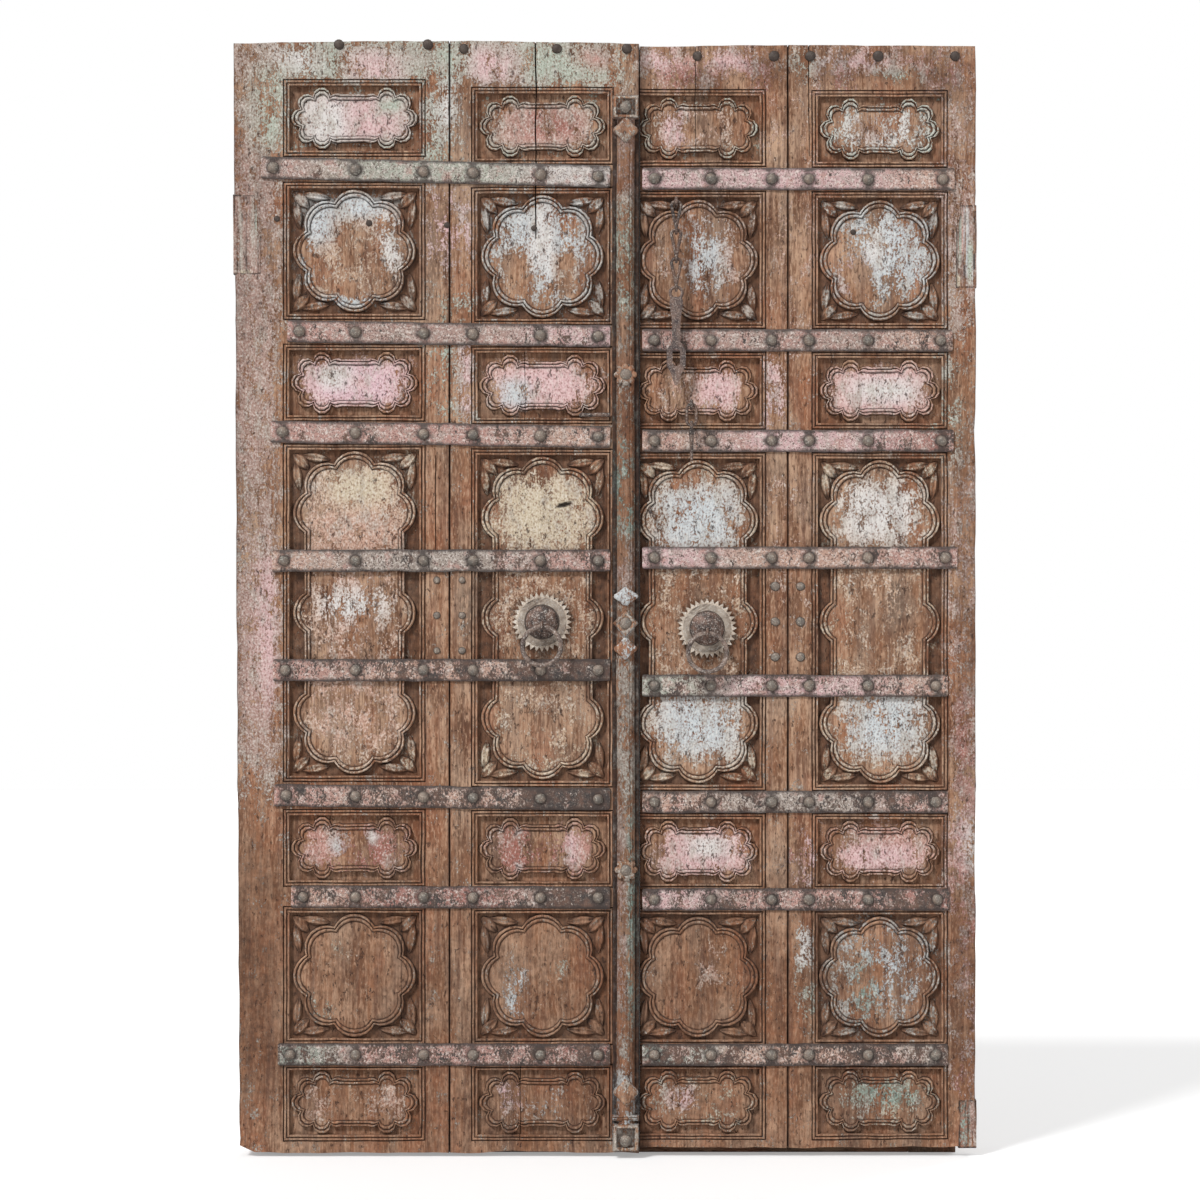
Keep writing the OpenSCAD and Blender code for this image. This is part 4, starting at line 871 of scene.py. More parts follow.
def panel_mesh(kind, wide, high):
    """Rim, field, ground and corner leaves of one panel about the origin."""
    bm = bmesh.new()
    rings = [trace(bm, kind, wide, high, inset, depth) for inset, depth, _ in RIM]
    for outer, inner in zip(rings, rings[1:]):
        bmesh.ops.bridge_loops(bm, edges=outer + inner)
    field = bmesh.ops.contextual_create(bm, geom=rings[-1])["faces"]
    grid_cut(bm, field, (-wide / 2, 0, -high / 2), (wide / 2, 0, high / 2), 22)
    corners = bmesh.ops.create_grid(bm, x_segments=1, y_segments=1, size=0.5,
                                    matrix=Matrix.Translation((0, GROUND, 0)) @ UPRIGHT)["verts"]
    bmesh.ops.scale(bm, vec=(wide, 1, high), verts=corners)
    sheet = corners[0].link_faces[0]
    outside = list(sheet.edges)
    bmesh.ops.delete(bm, geom=[sheet], context="FACES_ONLY")
    bmesh.ops.triangle_fill(bm, edges=outside + rings[0], use_beauty=True, use_dissolve=False,
                            normal=(0, -1, 0))
    if kind != "low":
        add_corner_leaves(bm, wide, high)
    print(f"{kind} panel {wide} wide: {len(bm.faces)} faces")
    return keep_mesh(bm, f"{kind} panel {wide}")


PANELS = {(kind, wide): panel_mesh(kind, wide - 2 * BORDER_W, HIGH[kind] - 2 * BORDER_W)
          for kind in ("low", "square", "tall") for wide in (272, 260)}


# %% [markdown]
# ## Block and panels
# A plank starts as a block. Cutting planes mark the panels on its face, and each panel's face is inset again
# and again with small changes of depth, which gives the double fillet of the border. The panel's inside is
# then dropped in and welded to it.

# %% Sink the panels
def plank_block(lo, hi, foot, top):
    """A plain block of a plank's size."""
    bm = bmesh.new()
    bmesh.ops.create_cube(bm, size=1)
    bmesh.ops.scale(bm, vec=(hi - lo, BACK - FRONT, top - foot), verts=bm.verts)
    bmesh.ops.translate(bm, vec=((lo + hi) / 2, (FRONT + BACK) / 2, (foot + top) / 2), verts=bm.verts)
    return bm


def mark_panels(bm, at):
    """Cuts the block along the edges of every panel."""
    marks = [((at["column"] + s * at["wide"] / 2, 0, 0), (1, 0, 0)) for s in (-1, 1)]
    for row, kind in enumerate(KINDS):
        marks += [((0, 0, at["rows"][row] + s * HIGH[kind] / 2), (0, 0, 1)) for s in (-1, 1)]
    for spot, normal in marks:
        bmesh.ops.bisect_plane(bm, geom=everything(bm), plane_co=spot, plane_no=normal)


def sink_panels(bm, at):
    """Steps each panel's face down and drops the inside in."""
    for row, kind in enumerate(KINDS):
        middle = Vector((at["column"], FRONT, at["rows"][row]))
        face = min(bm.faces, key=lambda f: (f.calc_center_median() - middle).length)
        last_in, last_deep = 0.0, 0.0
        for inward, deep, _ in BORDER:
            bmesh.ops.inset_region(bm, faces=[face], thickness=inward - last_in, depth=last_deep - deep,
                                   use_even_offset=True)
            last_in, last_deep = inward, deep
        bmesh.ops.delete(bm, geom=[face], context="FACES_ONLY")
        add_mesh(bm, PANELS[(kind, at["wide"])], Matrix.Translation(middle))
    bmesh.ops.remove_doubles(bm, verts=bm.verts, dist=0.03)


def saw_off(bm, x):
    """Saws a plank off at x, through its panels, and closes the cut."""
    cut = bmesh.ops.bisect_plane(bm, geom=everything(bm), plane_co=(x, 0, 0), plane_no=(-1, 0, 0),
                                 clear_outer=True)
    rim = pick(cut["geom_cut"], bmesh.types.BMEdge)
    bmesh.ops.triangle_fill(bm, edges=rim, use_beauty=True, normal=(-1, 0, 0))


trial = plank_block(0, 100, 0, 400)
print("volume of a trial block:", round(trial.calc_volume() / 1e6, 2), "litres")
trial.free()

# %% [markdown]
# ## Cracks and dents
# Thick planks crack along the grain as they dry, and a blow has dented one panel. A texture could fake both,
# but a real cut catches the light from every side. A crack is three cuts, of which the middle one is pushed
# in; a dent is a fine grid that is pushed in where an oval says so.

# %% Cracks and a dent
IN_FRONT = -70  # only the carved side of a plank is cracked
# Drying cracks by plank: place, lower and upper end, and how far each stands open.
CRACKS = {
    "left_outer": [(-323.8, 1166, 1308, 2.0), (-388, 245, 450, 0.9), (-352, 528, 624, 1.4)],
    "left_meeting": [(-133.8, 1764, 2116, 3.0), (-154, 1399, 1529, 1.6), (-163, 31, 184, 1.6)],
    "right_meeting": [(170, 1912, 2110, 1.4)],
    "right_outer": [(385.7, 1922, 2110, 1.8)],
}


def crack(bm, place, low, high, open_by):
    """Opens a V-shaped crack that wanders a little."""
    for shift in (-open_by / 2, 0, open_by / 2):
        spots = {f: f.calc_center_median() for f in bm.faces}
        faces = [f for f, c in spots.items()
                 if low - 20 < c.z < high + 20 and abs(c.x - place) < 150 and c.y < IN_FRONT]
        bmesh.ops.bisect_plane(bm, geom=with_rims(faces), plane_co=(place + shift, 0, 0), plane_no=(1, 0, 0),
                               dist=0.02)
    for vert in bm.verts:
        if vert.co.y > IN_FRONT or not low - 1 < vert.co.z < high + 1:
            continue
        if abs(vert.co.x - place) < 0.1:
            vert.co.y = FRONT + 15
        near = max(0.0, 1 - abs(vert.co.x - place) / 20)
        vert.co.x += near * 2.2 * noise.noise(Vector((place, 0.5, vert.co.z / 70)))


def gouge(bm, x, z, long, broad, tilt):
    """A short dent left by a blow, in a panel's field."""
    near = [f for f in bm.faces if abs(f.calc_center_median().x - x) < 40
            and abs(f.calc_center_median().z - z) < 30 and abs(f.calc_center_median().y - FRONT - 4) < 0.5]
    grid_cut(bm, near, (x - long, 0, z - broad * 2), (x + long, 0, z + broad * 2), 2.5)
    lean = math.radians(tilt)
    for vert in bm.verts:
        if vert.co.y > -85 or abs(vert.co.x - x) > long or abs(vert.co.z - z) > long:
            continue
        dx, dz = vert.co.x - x, vert.co.z - z
        along = (dx * math.cos(lean) + dz * math.sin(lean)) / long * 2
        across = (dz * math.cos(lean) - dx * math.sin(lean)) / broad * 2 + 0.5 * noise.noise(vert.co / 7)
        vert.co.y += 6.0 * max(0.0, 1 - along ** 2 - across ** 2)


print("cracks:", sum(len(listed) for listed in CRACKS.values()))

# %% [markdown]
# ## Dirt and painted shade in the carving
# Dirt collects where a cloth doesn't reach, and the hollows are darkened further with painted shade. Blender
# can bake such hollows, but here the depth below the face already says it: grooves are dark, crowns are
# clean.
# It is read before anything is bent out of true.

# %% Dirt, painted shade and rim paint of a plank
def side_of(name):
    """Left or right, from a plank's name."""
    return name.split("_")[0]


def dirt_and_shade_at(depth):
    """Dirt and painted shade by depth below the face: known on the profiles, estimated elsewhere."""
    if round(depth, 2) in GRIME_AND_SHADE_AT:
        return GRIME_AND_SHADE_AT[round(depth, 2)]
    if depth < 0.01:
        return 0.06
    return min(0.9, max(0.0, 0.15 * depth - 0.42)) if depth < 10.3 else 0.75


def plank_dirt_and_shade(bm, name, lo, hi, deep):
    """Dirt and painted shade by vertex, and how much of the paint there has stayed."""
    dirt_and_shade = np.array([dirt_and_shade_at(float(d)) for d in deep])
    # The crack bottoms lie between 10.5 and 20 mm deep and are made fully dark: painted shade in the cracks.
    dirt_and_shade = np.where((deep > 10.5) & (deep < 20), 1.0, np.where(deep > 20, 0.14, dirt_and_shade))
    stayed = np.where(deep > 20, 0.0, np.where(deep > 9.9, 0.7, 1.0))
    jointed = np.array([min(abs(v.co.x - lo), abs(v.co.x - hi)) for v in bm.verts]) < 1.0
    if name.endswith("outer"):
        inner = hi if side_of(name) == "left" else lo
        jointed &= np.array([abs(v.co.x - inner) < 1.0 or v.co.y < -80 for v in bm.verts])
    return np.where(jointed, np.maximum(dirt_and_shade, 0.6), dirt_and_shade), stayed


def rim_zones(bm, at, deep, dirt_and_shade):
    """Zones of paint with painted highlights on rims and leaves, and dirt with the ground's painted shade."""
    spots = np.array([v.co for v in bm.verts])
    zones = []
    for row, kind in enumerate(KINDS):
        inside = ((np.abs(spots[:, 0] - at["column"]) < at["wide"] / 2 - BORDER_W + 0.1)
                  & (np.abs(spots[:, 2] - at["rows"][row]) < HIGH[kind] / 2 - BORDER_W + 0.1) & (deep < 10.5))
        leaf = inside & (deep > 1.0) & (deep < 5.5) & ~np.isin(np.round(deep, 2), list(GRIME_AND_SHADE_AT))
        colour, left = RIM_PAINT[row]
        # Crowns and leaves keep more of the pale paint than the grooves, which lightens them as painted
        # highlights.
        zones += [(colour, left * 0.6, inside), (colour, left + 0.24, inside & (deep < 1.0)),
                  (colour, left + 0.2, leaf)]
        if kind != "low":
            # The sunk ground of square and tall panels is set darker: dirt with painted shade.
            ground = inside & ((np.abs(deep - 10.01) < 0.005) | (deep > 10.03))
            dirt_and_shade = np.where(ground, 0.52, dirt_and_shade)
    return zones, dirt_and_shade


print("dirt on the face, in a groove and on a crown:", dirt_and_shade_at(0.0), dirt_and_shade_at(3.35), dirt_and_shade_at(0.3))

# %% [markdown]
# ## Age
# Nothing here was ever quite straight. The upper edge bows, the foot is ragged from rot, and the long edges
# wander. All of it is done by moving vertices along smooth noises. Where two planks of a leaf meet, the
# edges reach under each other behind the face, so that no light passes.

# %% Bend and wear a plank
SEEDS = {"left_outer": 3.1, "left_meeting": 8.7, "right_meeting": 14.2, "right_outer": 21.9}
# Long edges where the two planks of a leaf meet: 1 for the lower x, -1 for the higher.
LAPPED = [("left_outer", -1), ("left_meeting", 1), ("right_meeting", -1), ("right_outer", 1)]
BEND = 90  # how far an edge's wandering reaches into the plank


def top_bow(x):
    """How far the upper edge stands above or below its mean height."""
    return 5.0 * math.cos((x + 330) / 260) - 1.5 if x < 63 else 2.0 * math.cos((x - 420) / 180)


def edge_lean(z):
    """How far the left leaf's outer edge leans at a height."""
    foot, top = PLANKS["left_outer"]["foot"], PLANKS["left_outer"]["top"]
    return 6.0 - 11.5 * (z - foot) / (top - foot)


def worn_edge(name, sign, edge, y, wave, fine):
    """Where a vertex on a long edge ends up."""
    if (name, sign) == ("left_meeting", -1):
        return edge + (0.2 + 0.1 * wave if y < -80 else 2.25)
    if (name, sign) == ("right_meeting", 1):
        return edge - 0.2
    if (name, sign) in LAPPED and y > -80:
        return edge - sign * 1.2
    return edge + sign * (0.15 + abs(wave) * 0.9 + abs(fine) * 0.5)


def age_plank(bm, name, lo, hi):
    """Wavers the carving and wears the edges."""
    foot, top, seed = PLANKS[name]["foot"], PLANKS[name]["top"], SEEDS[name]
    wobble(bm, bm.verts, (0.9, 0.25, 0.9), 34, seed)
    outer = {"left_outer": lo, "right_outer": hi}.get(name)
    for vert in bm.verts:
        x, z = vert.co.x, vert.co.z
        wave = noise.noise(Vector((seed, x * 0.004, z * 0.012)))
        fine = noise.noise(Vector((seed + 5, x * 0.02, z * 0.05)))
        for edge, sign in ((lo, 1), (hi, -1)):
            if abs(x - edge) < 1.6:
                vert.co.x = worn_edge(name, sign, edge, vert.co.y, wave, fine)
        if name == "left_outer":
            vert.co.x += edge_lean(z) * max(0, 1 - (x - lo) / BEND)
        if outer is not None and abs(x - outer) < BEND:
            vert.co.x += (wave * 2.4 + fine * 1.2) * (1 - abs(x - outer) / BEND)
        if z > top - 50:
            vert.co.z += (top_bow(x) + fine * 1.2) * (z - top + 50) / 50
        if z < foot + 40:
            ragged = 2.0 + 3.0 * fine + wave * 3.0
            if name == "left_outer":
                ragged += max(0, 26 - abs(x - outer)) * 0.55
            vert.co.z += max(0, ragged) * (1 - (z - foot) / 40)


print("the upper edge bows by", [round(top_bow(x), 1) for x in (-700, -330, 50, 420)], "mm")

# %% [markdown]
# ## Planks
# Now the steps come together, in the order in which the wood went through them: sawn, carved, cracked, made
# dirty and darkened with painted shade, worn and painted. The right leaf's meeting plank was carved first and
# sawn to its width later, so its panels are cut by its edge.

# %% Carve the planks
def in_a_panel(spot, at):
    """Whether a spot lies inside one of the plank's panels."""
    return (spot.y < IN_FRONT and abs(spot.x - at["column"]) < at["wide"] / 2 - BORDER_W - 0.4
            and any(abs(spot.z - at["rows"][row]) < HIGH[kind] / 2 - BORDER_W - 0.4
                    for row, kind in enumerate(KINDS)))


def carve_plank(name):
    at, sawn = PLANKS[name], name == "right_meeting"
    lo, hi, foot, top = at["lo"], at["hi"], at["foot"], at["top"]
    bm = plank_block(at["column"] - at["wide"] / 2 - 6 if sawn else lo, hi, foot, top)
    mark_panels(bm, at)
    sink_panels(bm, at)
    if sawn:
        saw_off(bm, lo)
    for x in (hi - 3,) if sawn else (lo + 3, hi - 3):
        bmesh.ops.bisect_plane(bm, geom=everything(bm), plane_co=(x, 0, 0), plane_no=(1, 0, 0))
    plain = [f for f in bm.faces if not in_a_panel(f.calc_center_median(), at)]
    grid_cut(bm, plain, (lo, 0, foot), (hi, 0, top), 30)
    for place, low, high, open_by in CRACKS[name]:
        crack(bm, place, low, min(high, top), open_by)
    if name == "left_meeting":
        gouge(bm, -80, 1238, 36, 11, 16)
    deep = np.array([v.co.y - FRONT for v in bm.verts])
    dirt_and_shade, stayed = plank_dirt_and_shade(bm, name, lo, hi, deep)
    zones, dirt_and_shade = rim_zones(bm, at, deep, dirt_and_shade)
    age_plank(bm, name, lo, hi)
    piece = finish_piece(bm, name + "_carved_plank", side_of(name) + "_leaf", CARVED,
                         [name + "_plank"])
    lay_paint(piece, PLAIN + ["zones"] + strokes_of(name), dirt_and_shade=dirt_and_shade, dry=stayed, zones=zones)


for name in PLANKS:
    carve_plank(name)

# %% [markdown]
# ## Where the straps run
# Eight straps cross each leaf, between the rows of panels and twice over the tall ones. The rows of the two
# planks aren't quite level with each other, so every strap leans a little. The studs have to follow it, and
# so one function gives a strap's height at any x.

# %% Strap lines
LEAVES = {
    "left": dict(side=-1, edge=-702.25, joint=-297.5, end=8.25, outer=PLANKS["left_outer"],
                 meeting=PLANKS["left_meeting"], starts=[79, 104, 72, 70, 68, 65, 97, 47], gap=208.0,
                 studs=[178, 49, 45, 173]),
    "right": dict(side=1, edge=702.25, joint=345.5, end=68.75, outer=PLANKS["right_outer"],
                  meeting=PLANKS["right_meeting"], starts=[53, 50, 53, 53, 35, 42, 44, 40], gap=243.0,
                  studs=[152, 40, 31, 146]),
}
STRAPS = range(8)
END_STUD = 23  # from a strap's end to its last stud


def tall_middle(leaf):
    """Mean height of the middles of a leaf's two tall panels."""
    return (leaf["outer"]["rows"][3] + leaf["meeting"]["rows"][3]) / 2


def strap_height(leaf, plank, number):
    """Height of a strap at one column: midway between two panels, or across the tall panel."""
    if number in (3, 4):
        return tall_middle(leaf) + (number - 3.5) * leaf["gap"]
    row = number if number < 3 else number - 2
    below = plank["rows"][row] + HIGH[KINDS[row]] / 2
    above = plank["rows"][row + 1] - HIGH[KINDS[row + 1]] / 2
    return (below + above) / 2


def strap_line(leaf, number):
    """Slope of a strap and a function that gives its middle's height at x."""
    a, b = strap_height(leaf, leaf["outer"], number), strap_height(leaf, leaf["meeting"], number)
    xa, xb = leaf["outer"]["column"], leaf["meeting"]["column"]
    slope = 0.75 * (b - a) / (xb - xa)
    return slope, lambda x: (a + b) / 2 + slope * (x - (xa + xb) / 2)


def strap_start(leaf, number):
    """X of a strap's outer end."""
    return leaf["edge"] - leaf["side"] * leaf["starts"][number]


def stud_places(leaf, number):
    """X of a strap's six studs, from its outer end."""
    side, joint = leaf["side"], leaf["joint"]
    far, near, near_in, far_in = leaf["studs"]
    return [strap_start(leaf, number) - side * END_STUD, joint + side * far, joint + side * near,
            joint - side * near_in, joint - side * far_in, leaf["end"] + side * END_STUD]


print("left straps at:", [round(strap_height(LEAVES["left"], PLANKS["left_outer"], n)) for n in STRAPS])

# %% [markdown]
# ## Straps
# The straps are hand-forged flat bars, painted over together with the wood. Each starts as a long block that
# is cut into short lengths, so that it can waver along its length and ride slightly proud here and there.
# Its corners are rounded off with a small bevel. Dirt with painted shade lies along its edges and round
# the studs.

# %% Forge the straps
# Paint left on each strap, from the foot up: (colour, cover) at its outer end, middle and inner end.
STRAP_PAINT = {
    "left": [("teal", 0.6, "rose", 0.55, "red", 0.45), ("salmon", 0.55, "red", 0.55, "grey", 0.3),
             ("rose", 0.6, "salmon", 0.5, "grey", 0.24), ("rose", 0.6, "salmon", 0.5, "grey", 0.3),
             ("salmon", 0.62, "grey", 0.55, "rose", 0.5), ("rose", 0.66, "rose", 0.62, "salmon", 0.55),
             ("rose", 0.62, "blush", 0.66, "pink", 0.6), ("blush", 0.62, "mint", 0.64, "white", 0.66)],
    "right": [("grey", 0.42, "salmon", 0.5, "teal", 0.45), ("red", 0.4, "rose", 0.55, "pink", 0.6),
              ("rose", 0.5, "grey", 0.55, "salmon", 0.6), ("salmon", 0.6, "pink", 0.66, "mint", 0.62),
              ("rose", 0.55, "salmon", 0.66, "pink", 0.66), ("red", 0.5, "pink", 0.62, "salmon", 0.62),
              ("salmon", 0.55, "blush", 0.66, "rose", 0.6), ("salmon", 0.6, "pink", 0.72, "pink", 0.66)],
}


def round_edges(bm, edges, offset):
    """Rounds edges off."""
    return bmesh.ops.bevel(bm, geom=edges, offset=offset, offset_type="OFFSET", segments=2, profile=0.5,
                           affect="EDGES", material=-1)


def strap_bar(long):
    """A flat bar with rounded corners, cut into short lengths."""
    bm = bmesh.new()
    bmesh.ops.create_cube(bm, size=1)
    bmesh.ops.scale(bm, vec=(long, 4, 42), verts=bm.verts)
    round_edges(bm, [e for e in bm.edges if abs(e.verts[0].co.y - e.verts[1].co.y) > 1], 3.5)
    round_edges(bm, [e for e in bm.edges if all(v.co.y < 0 for v in e.verts)], 0.9)
    grid_cut(bm, bm.faces[:], (-long / 2, 0, -21), (long / 2, 0, 21), 8)
    return bm


def hammer_bar(bm, number, side):
    """Wavers a bar and leaves hammer marks on its face."""
    for vert in bm.verts:
        sway = noise.noise(Vector((vert.co.x / 46 + number * 9.1, number * 3.3 + side, 0)))
        blow = noise.noise(Vector((vert.co.x / 16, number * 5.7 + side, vert.co.z / 16)))
        if vert.co.y < 0:
            vert.co.y += 0.55 * blow + 0.5 * sway - 0.3
        vert.co.z += (1.5 * sway + 1.0 * blow) * (1 if abs(vert.co.z) > 10 else 0.3)


def strap_dirt_and_shade(bm, leaf, number):
    """Dirt and painted shade along a strap's edges and round its studs."""
    height = strap_line(leaf, number)[1]
    spots = np.array([v.co for v in bm.verts])
    across = np.abs(spots[:, 2] - height(spots[:, 0]))
    dirt_and_shade = np.clip((across - 14) / 6, 0, 1) * 0.85
    for x in stud_places(leaf, number):
        away = np.hypot(spots[:, 0] - x, spots[:, 2] - height(x))
        dirt_and_shade = np.maximum(dirt_and_shade, np.clip(1.9 - away / 10, 0, 0.95))
    return dirt_and_shade


def forge_strap(side, number):
    leaf = LEAVES[side]
    start, end = strap_start(leaf, number), leaf["end"]
    slope, height = strap_line(leaf, number)
    middle, long = (start + end) / 2, abs(end - start)
    bm = strap_bar(long)
    hammer_bar(bm, number, leaf["side"])
    bmesh.ops.rotate(bm, verts=bm.verts, cent=(0, 0, 0), matrix=Matrix.Rotation(-math.atan(slope), 3, "Y"))
    bmesh.ops.translate(bm, verts=bm.verts, vec=(middle, FRONT - 2, height(middle)))
    dirt_and_shade = strap_dirt_and_shade(bm, leaf, number)
    name = f"{side}_strap_{number + 1}"
    piece = finish_piece(bm, name + "_forged", side + "_leaf", STRAP_IRON, [name])
    third, more = long / 3, 0.08 if number > 3 else -0.02
    words = STRAP_PAINT[side][number]
    places = (start, third), (middle, third), (end, third * 0.8)
    strokes = [(colour, cover + more, x, height(x), reach, 80)
               for colour, cover, (x, reach) in zip(words[::2], words[1::2], places)]
    lay_paint(piece, strokes, start=("grey", 0.5 + more), dirt_and_shade=dirt_and_shade)


for side in LEAVES:
    for number in STRAPS:
        forge_strap(side, number)

# %% [markdown]
# ## Domed heads
# A smith makes these heads with a few hammer blows, so no two are the same. One profile, spun about its
# axis, gives the dome; a little random push on each copy does the rest. The dice start from a fixed number,
# so that the door comes out the same every time.

# %% Heads of studs and nails
dice = random.Random(7)


def head_mesh(sides):
    """A domed head of radius and height 1 on the plane of X and Z, facing -Y."""
    bm = bmesh.new()
    vert = bm.verts.new((1, 0.08, 0))
    for share, up in ((1.0, 0.12), (0.95, 0.3), (0.78, 0.62), (0.5, 0.88), (0.22, 0.99), (0.0, 1.0)):
        vert = pull_point(bm, vert, (share, -up, 0))
    bmesh.ops.spin(bm, geom=bm.verts[:] + bm.edges[:], cent=(0, 0, 0), axis=(0, 1, 0), angle=2 * math.pi,
                   steps=sides, use_merge=True)
    bmesh.ops.remove_doubles(bm, verts=bm.verts, dist=0.001)
    return keep_mesh(bm, "head")


STUD_HEAD, BOSS_HEAD = head_mesh(14), head_mesh(36)


def add_head(bm, spot, radius, high, shape=STUD_HEAD, rough=0.5):
    """A domed head with its flat at spot, pushed about a little."""
    fresh = add_mesh(bm, shape, Matrix.Diagonal((radius, high, radius, 1)))
    shove = Vector((dice.uniform(-40, 40), dice.uniform(-40, 40), 0))
    for vert in fresh:
        vert.co += noise.noise_vector(vert.co / (radius * 0.55) + shove) * rough * radius * 0.12
    turn = Matrix.Rotation(dice.uniform(0, 6.3), 4, "Y")
    squeeze = Matrix.Diagonal((dice.uniform(0.92, 1.06), 1, dice.uniform(0.92, 1.06), 1))
    bmesh.ops.transform(bm, verts=fresh, matrix=Matrix.Translation(spot) @ turn @ squeeze)


def ring_of_dirt_and_shade(piece, foot, dark=0.0, above=0):
    """Dirt and painted shade where a head meets what it is driven into; high heads may be dark all over."""
    spots = np.array([v.co * 1000 for v in piece.data.vertices])
    up = foot - spots[:, 1]
    dirt_and_shade = np.where(up < -10, 0.3, np.clip(1.1 - up / 2.6, 0, 1))
    lay_paint(piece, [], dirt_and_shade=np.where(spots[:, 2] > above, np.maximum(dirt_and_shade, dark), dirt_and_shade))


print("head:", len(STUD_HEAD.polygons), "faces, boss:", len(BOSS_HEAD.polygons))


# %% [markdown]
# ## Studs
# The studs go through strap and plank. On the back their shanks come out, through a ledge or a hinge strap
# where there is one, and are hammered flat. A cone with a few sides, pushed about, is enough for that.

# %% Studs
LEDGED, HINGED = (1, 2, 4, 5, 6), (0, 3, 7)  # straps with a ledge or a hinge strap behind them
LEDGE_THICK, HINGE_THICK = 36, 5
HINGE_END = 335.25  # studs farther than this from the door's middle go through a hinge strap


def add_clench(bm, spot, radius=7, thick=3):
    """A shank's hammered end, facing +Y."""
    spot = Vector(spot)
    lie = Matrix.Translation(spot + Vector((0, thick / 2, 0))) @ Matrix.Rotation(-math.pi / 2, 4, "X")
    made = bmesh.ops.create_cone(bm, cap_ends=True, segments=9, radius1=radius, radius2=radius * 0.72,
                                 depth=thick, matrix=lie)
    wobble(bm, made["verts"], (0.7, 0.2, 0.7), 9, spot.x)


def set_studs(side):
    leaf, bm = LEAVES[side], bmesh.new()
    for number in STRAPS:
        height = strap_line(leaf, number)[1]
        for turn, x in enumerate(stud_places(leaf, number)):
            add_head(bm, (x, FRONT - 4, height(x)), 10.5, 8.5)
            reach = LEDGE_THICK if number in LEDGED else 0
            if number in HINGED and leaf["side"] * x > HINGE_END:
                reach = HINGE_THICK
            if turn > 0:
                add_clench(bm, (x, BACK + reach, height(x)))
    heads = finish_piece(bm, side + "_stud_heads", side + "_leaf", STUD_IRON,
                         [side + "_studs"], 50)
    ring_of_dirt_and_shade(heads, FRONT - 4)


print("studs on a strap:", len(stud_places(LEAVES["left"], 0)))

# %% [markdown]
# ## Nails
# A row of large nails runs along the top, six sit beside the planks' joint, and a few small ones are left
# over from other fittings. They use the same head in other sizes.

# %% Set studs and nails
# Along the top: the plank, and how far across it.
TOP_NAILS = {
    "left": [("left_outer", 0.483), ("left_outer", 0.901), ("left_meeting", 0.074), ("left_meeting", 0.567),
             ("left_meeting", 0.937)],
    "right": [("right_meeting", 0.091), ("right_meeting", 0.612), ("right_outer", 0.11),
              ("right_outer", 0.52), ("right_outer", 0.882)],
}
BELOW_TOP = {"left_outer": 3, "left_meeting": 11, "right_meeting": 19, "right_outer": 19}
JOINT_NAIL = {"left": 7, "right": 9}  # radius
# Small nails: (x, depth below the face, z).
SMALL_NAILS = {
    "left": [(-450.3, 4, 1774), (-302.1, 0, 1770), (-136.8, 0, 1764), (-625, 0, 1782)],
    "right": [(470, 4, 1757)],
}


def set_nails(side):
    leaf, bm = LEAVES[side], bmesh.new()
    for plank, share in TOP_NAILS[side]:
        low, high = PLANKS[plank]["lo"], PLANKS[plank]["hi"]
        x = low + (high - low) * (share if side == "left" else 1 - share)
        add_head(bm, (x, FRONT, leaf["outer"]["top"] - BELOW_TOP[plank]), 10, 5.5)
    for across in (-24, 24):
        for step in (-67, 0, 67):
            add_head(bm, (leaf["joint"] + across, FRONT, tall_middle(leaf) + step), JOINT_NAIL[side], 4)
    for x, sunk, z in SMALL_NAILS[side]:
        add_head(bm, (x, FRONT + sunk, z), 6, 3)
    heads = finish_piece(bm, side + "_nail_heads", side + "_leaf", STUD_IRON,
                         [side + "_nails"], 50)
    ring_of_dirt_and_shade(heads, FRONT, 0.75, 1500)


for side in LEAVES:
    set_studs(side)
    set_nails(side)

# %% [markdown]
# ## Ornaments of the astragal
# Carved buds, discs and blocks sit on the strip that covers the meeting edge. Each is a flat outline that is
# raised in steps: a block is inset to a crown with a sunk middle, and a bud shrinks to a soft pillow.

# %% Blocks and buds
AXIS_X, STRIP_FOOT, STRIP_TOP = 37.25, 14.0, 2013.0
STRIP_MID, STRIP_SPAN = (STRIP_FOOT + STRIP_TOP) / 2, STRIP_TOP - STRIP_FOOT
DISCS = [STRIP_MID - 0.2335 * STRIP_SPAN, STRIP_MID + 0.2355 * STRIP_SPAN]


def raise_outline(bm, verts, wide, high, z, up):
    """Sizes and places an outline on the strip, lifts its face and returns it."""
    bmesh.ops.scale(bm, vec=(wide, 1, high), verts=verts)
    face = verts[0].link_faces[0]
    bmesh.ops.translate(bm, vec=(AXIS_X, FRONT, z), verts=verts)
    lifted = bmesh.ops.extrude_discrete_faces(bm, faces=[face])["faces"][0]
    bmesh.ops.translate(bm, vec=(0, -up, 0), verts=lifted.verts)
    return lifted


def add_block(bm, wide, high, z, proud, turn=0.0, crown=0.7):
    """A four-sided ornament with a crown and a sunk middle."""
    made = bmesh.ops.create_circle(bm, cap_ends=True, segments=4, radius=1,
                                   matrix=UPRIGHT @ Matrix.Rotation(turn, 4, "Z"))
    lifted = raise_outline(bm, made["verts"], wide, high, z, proud - 2.5)
    small = min(wide, high)
    flat = small * (1 - crown) - 2.8
    for thick, rise in ((1.2, -1.6), (1.6, -0.9), (flat, 0.0), (1.0, 1.8), (2.0, 0.0), (1.4, -1.6)):
        if thick > 0:
            bmesh.ops.inset_region(bm, faces=[lifted], thickness=min(thick, small * 0.3), depth=-rise,
                                   use_even_offset=True)


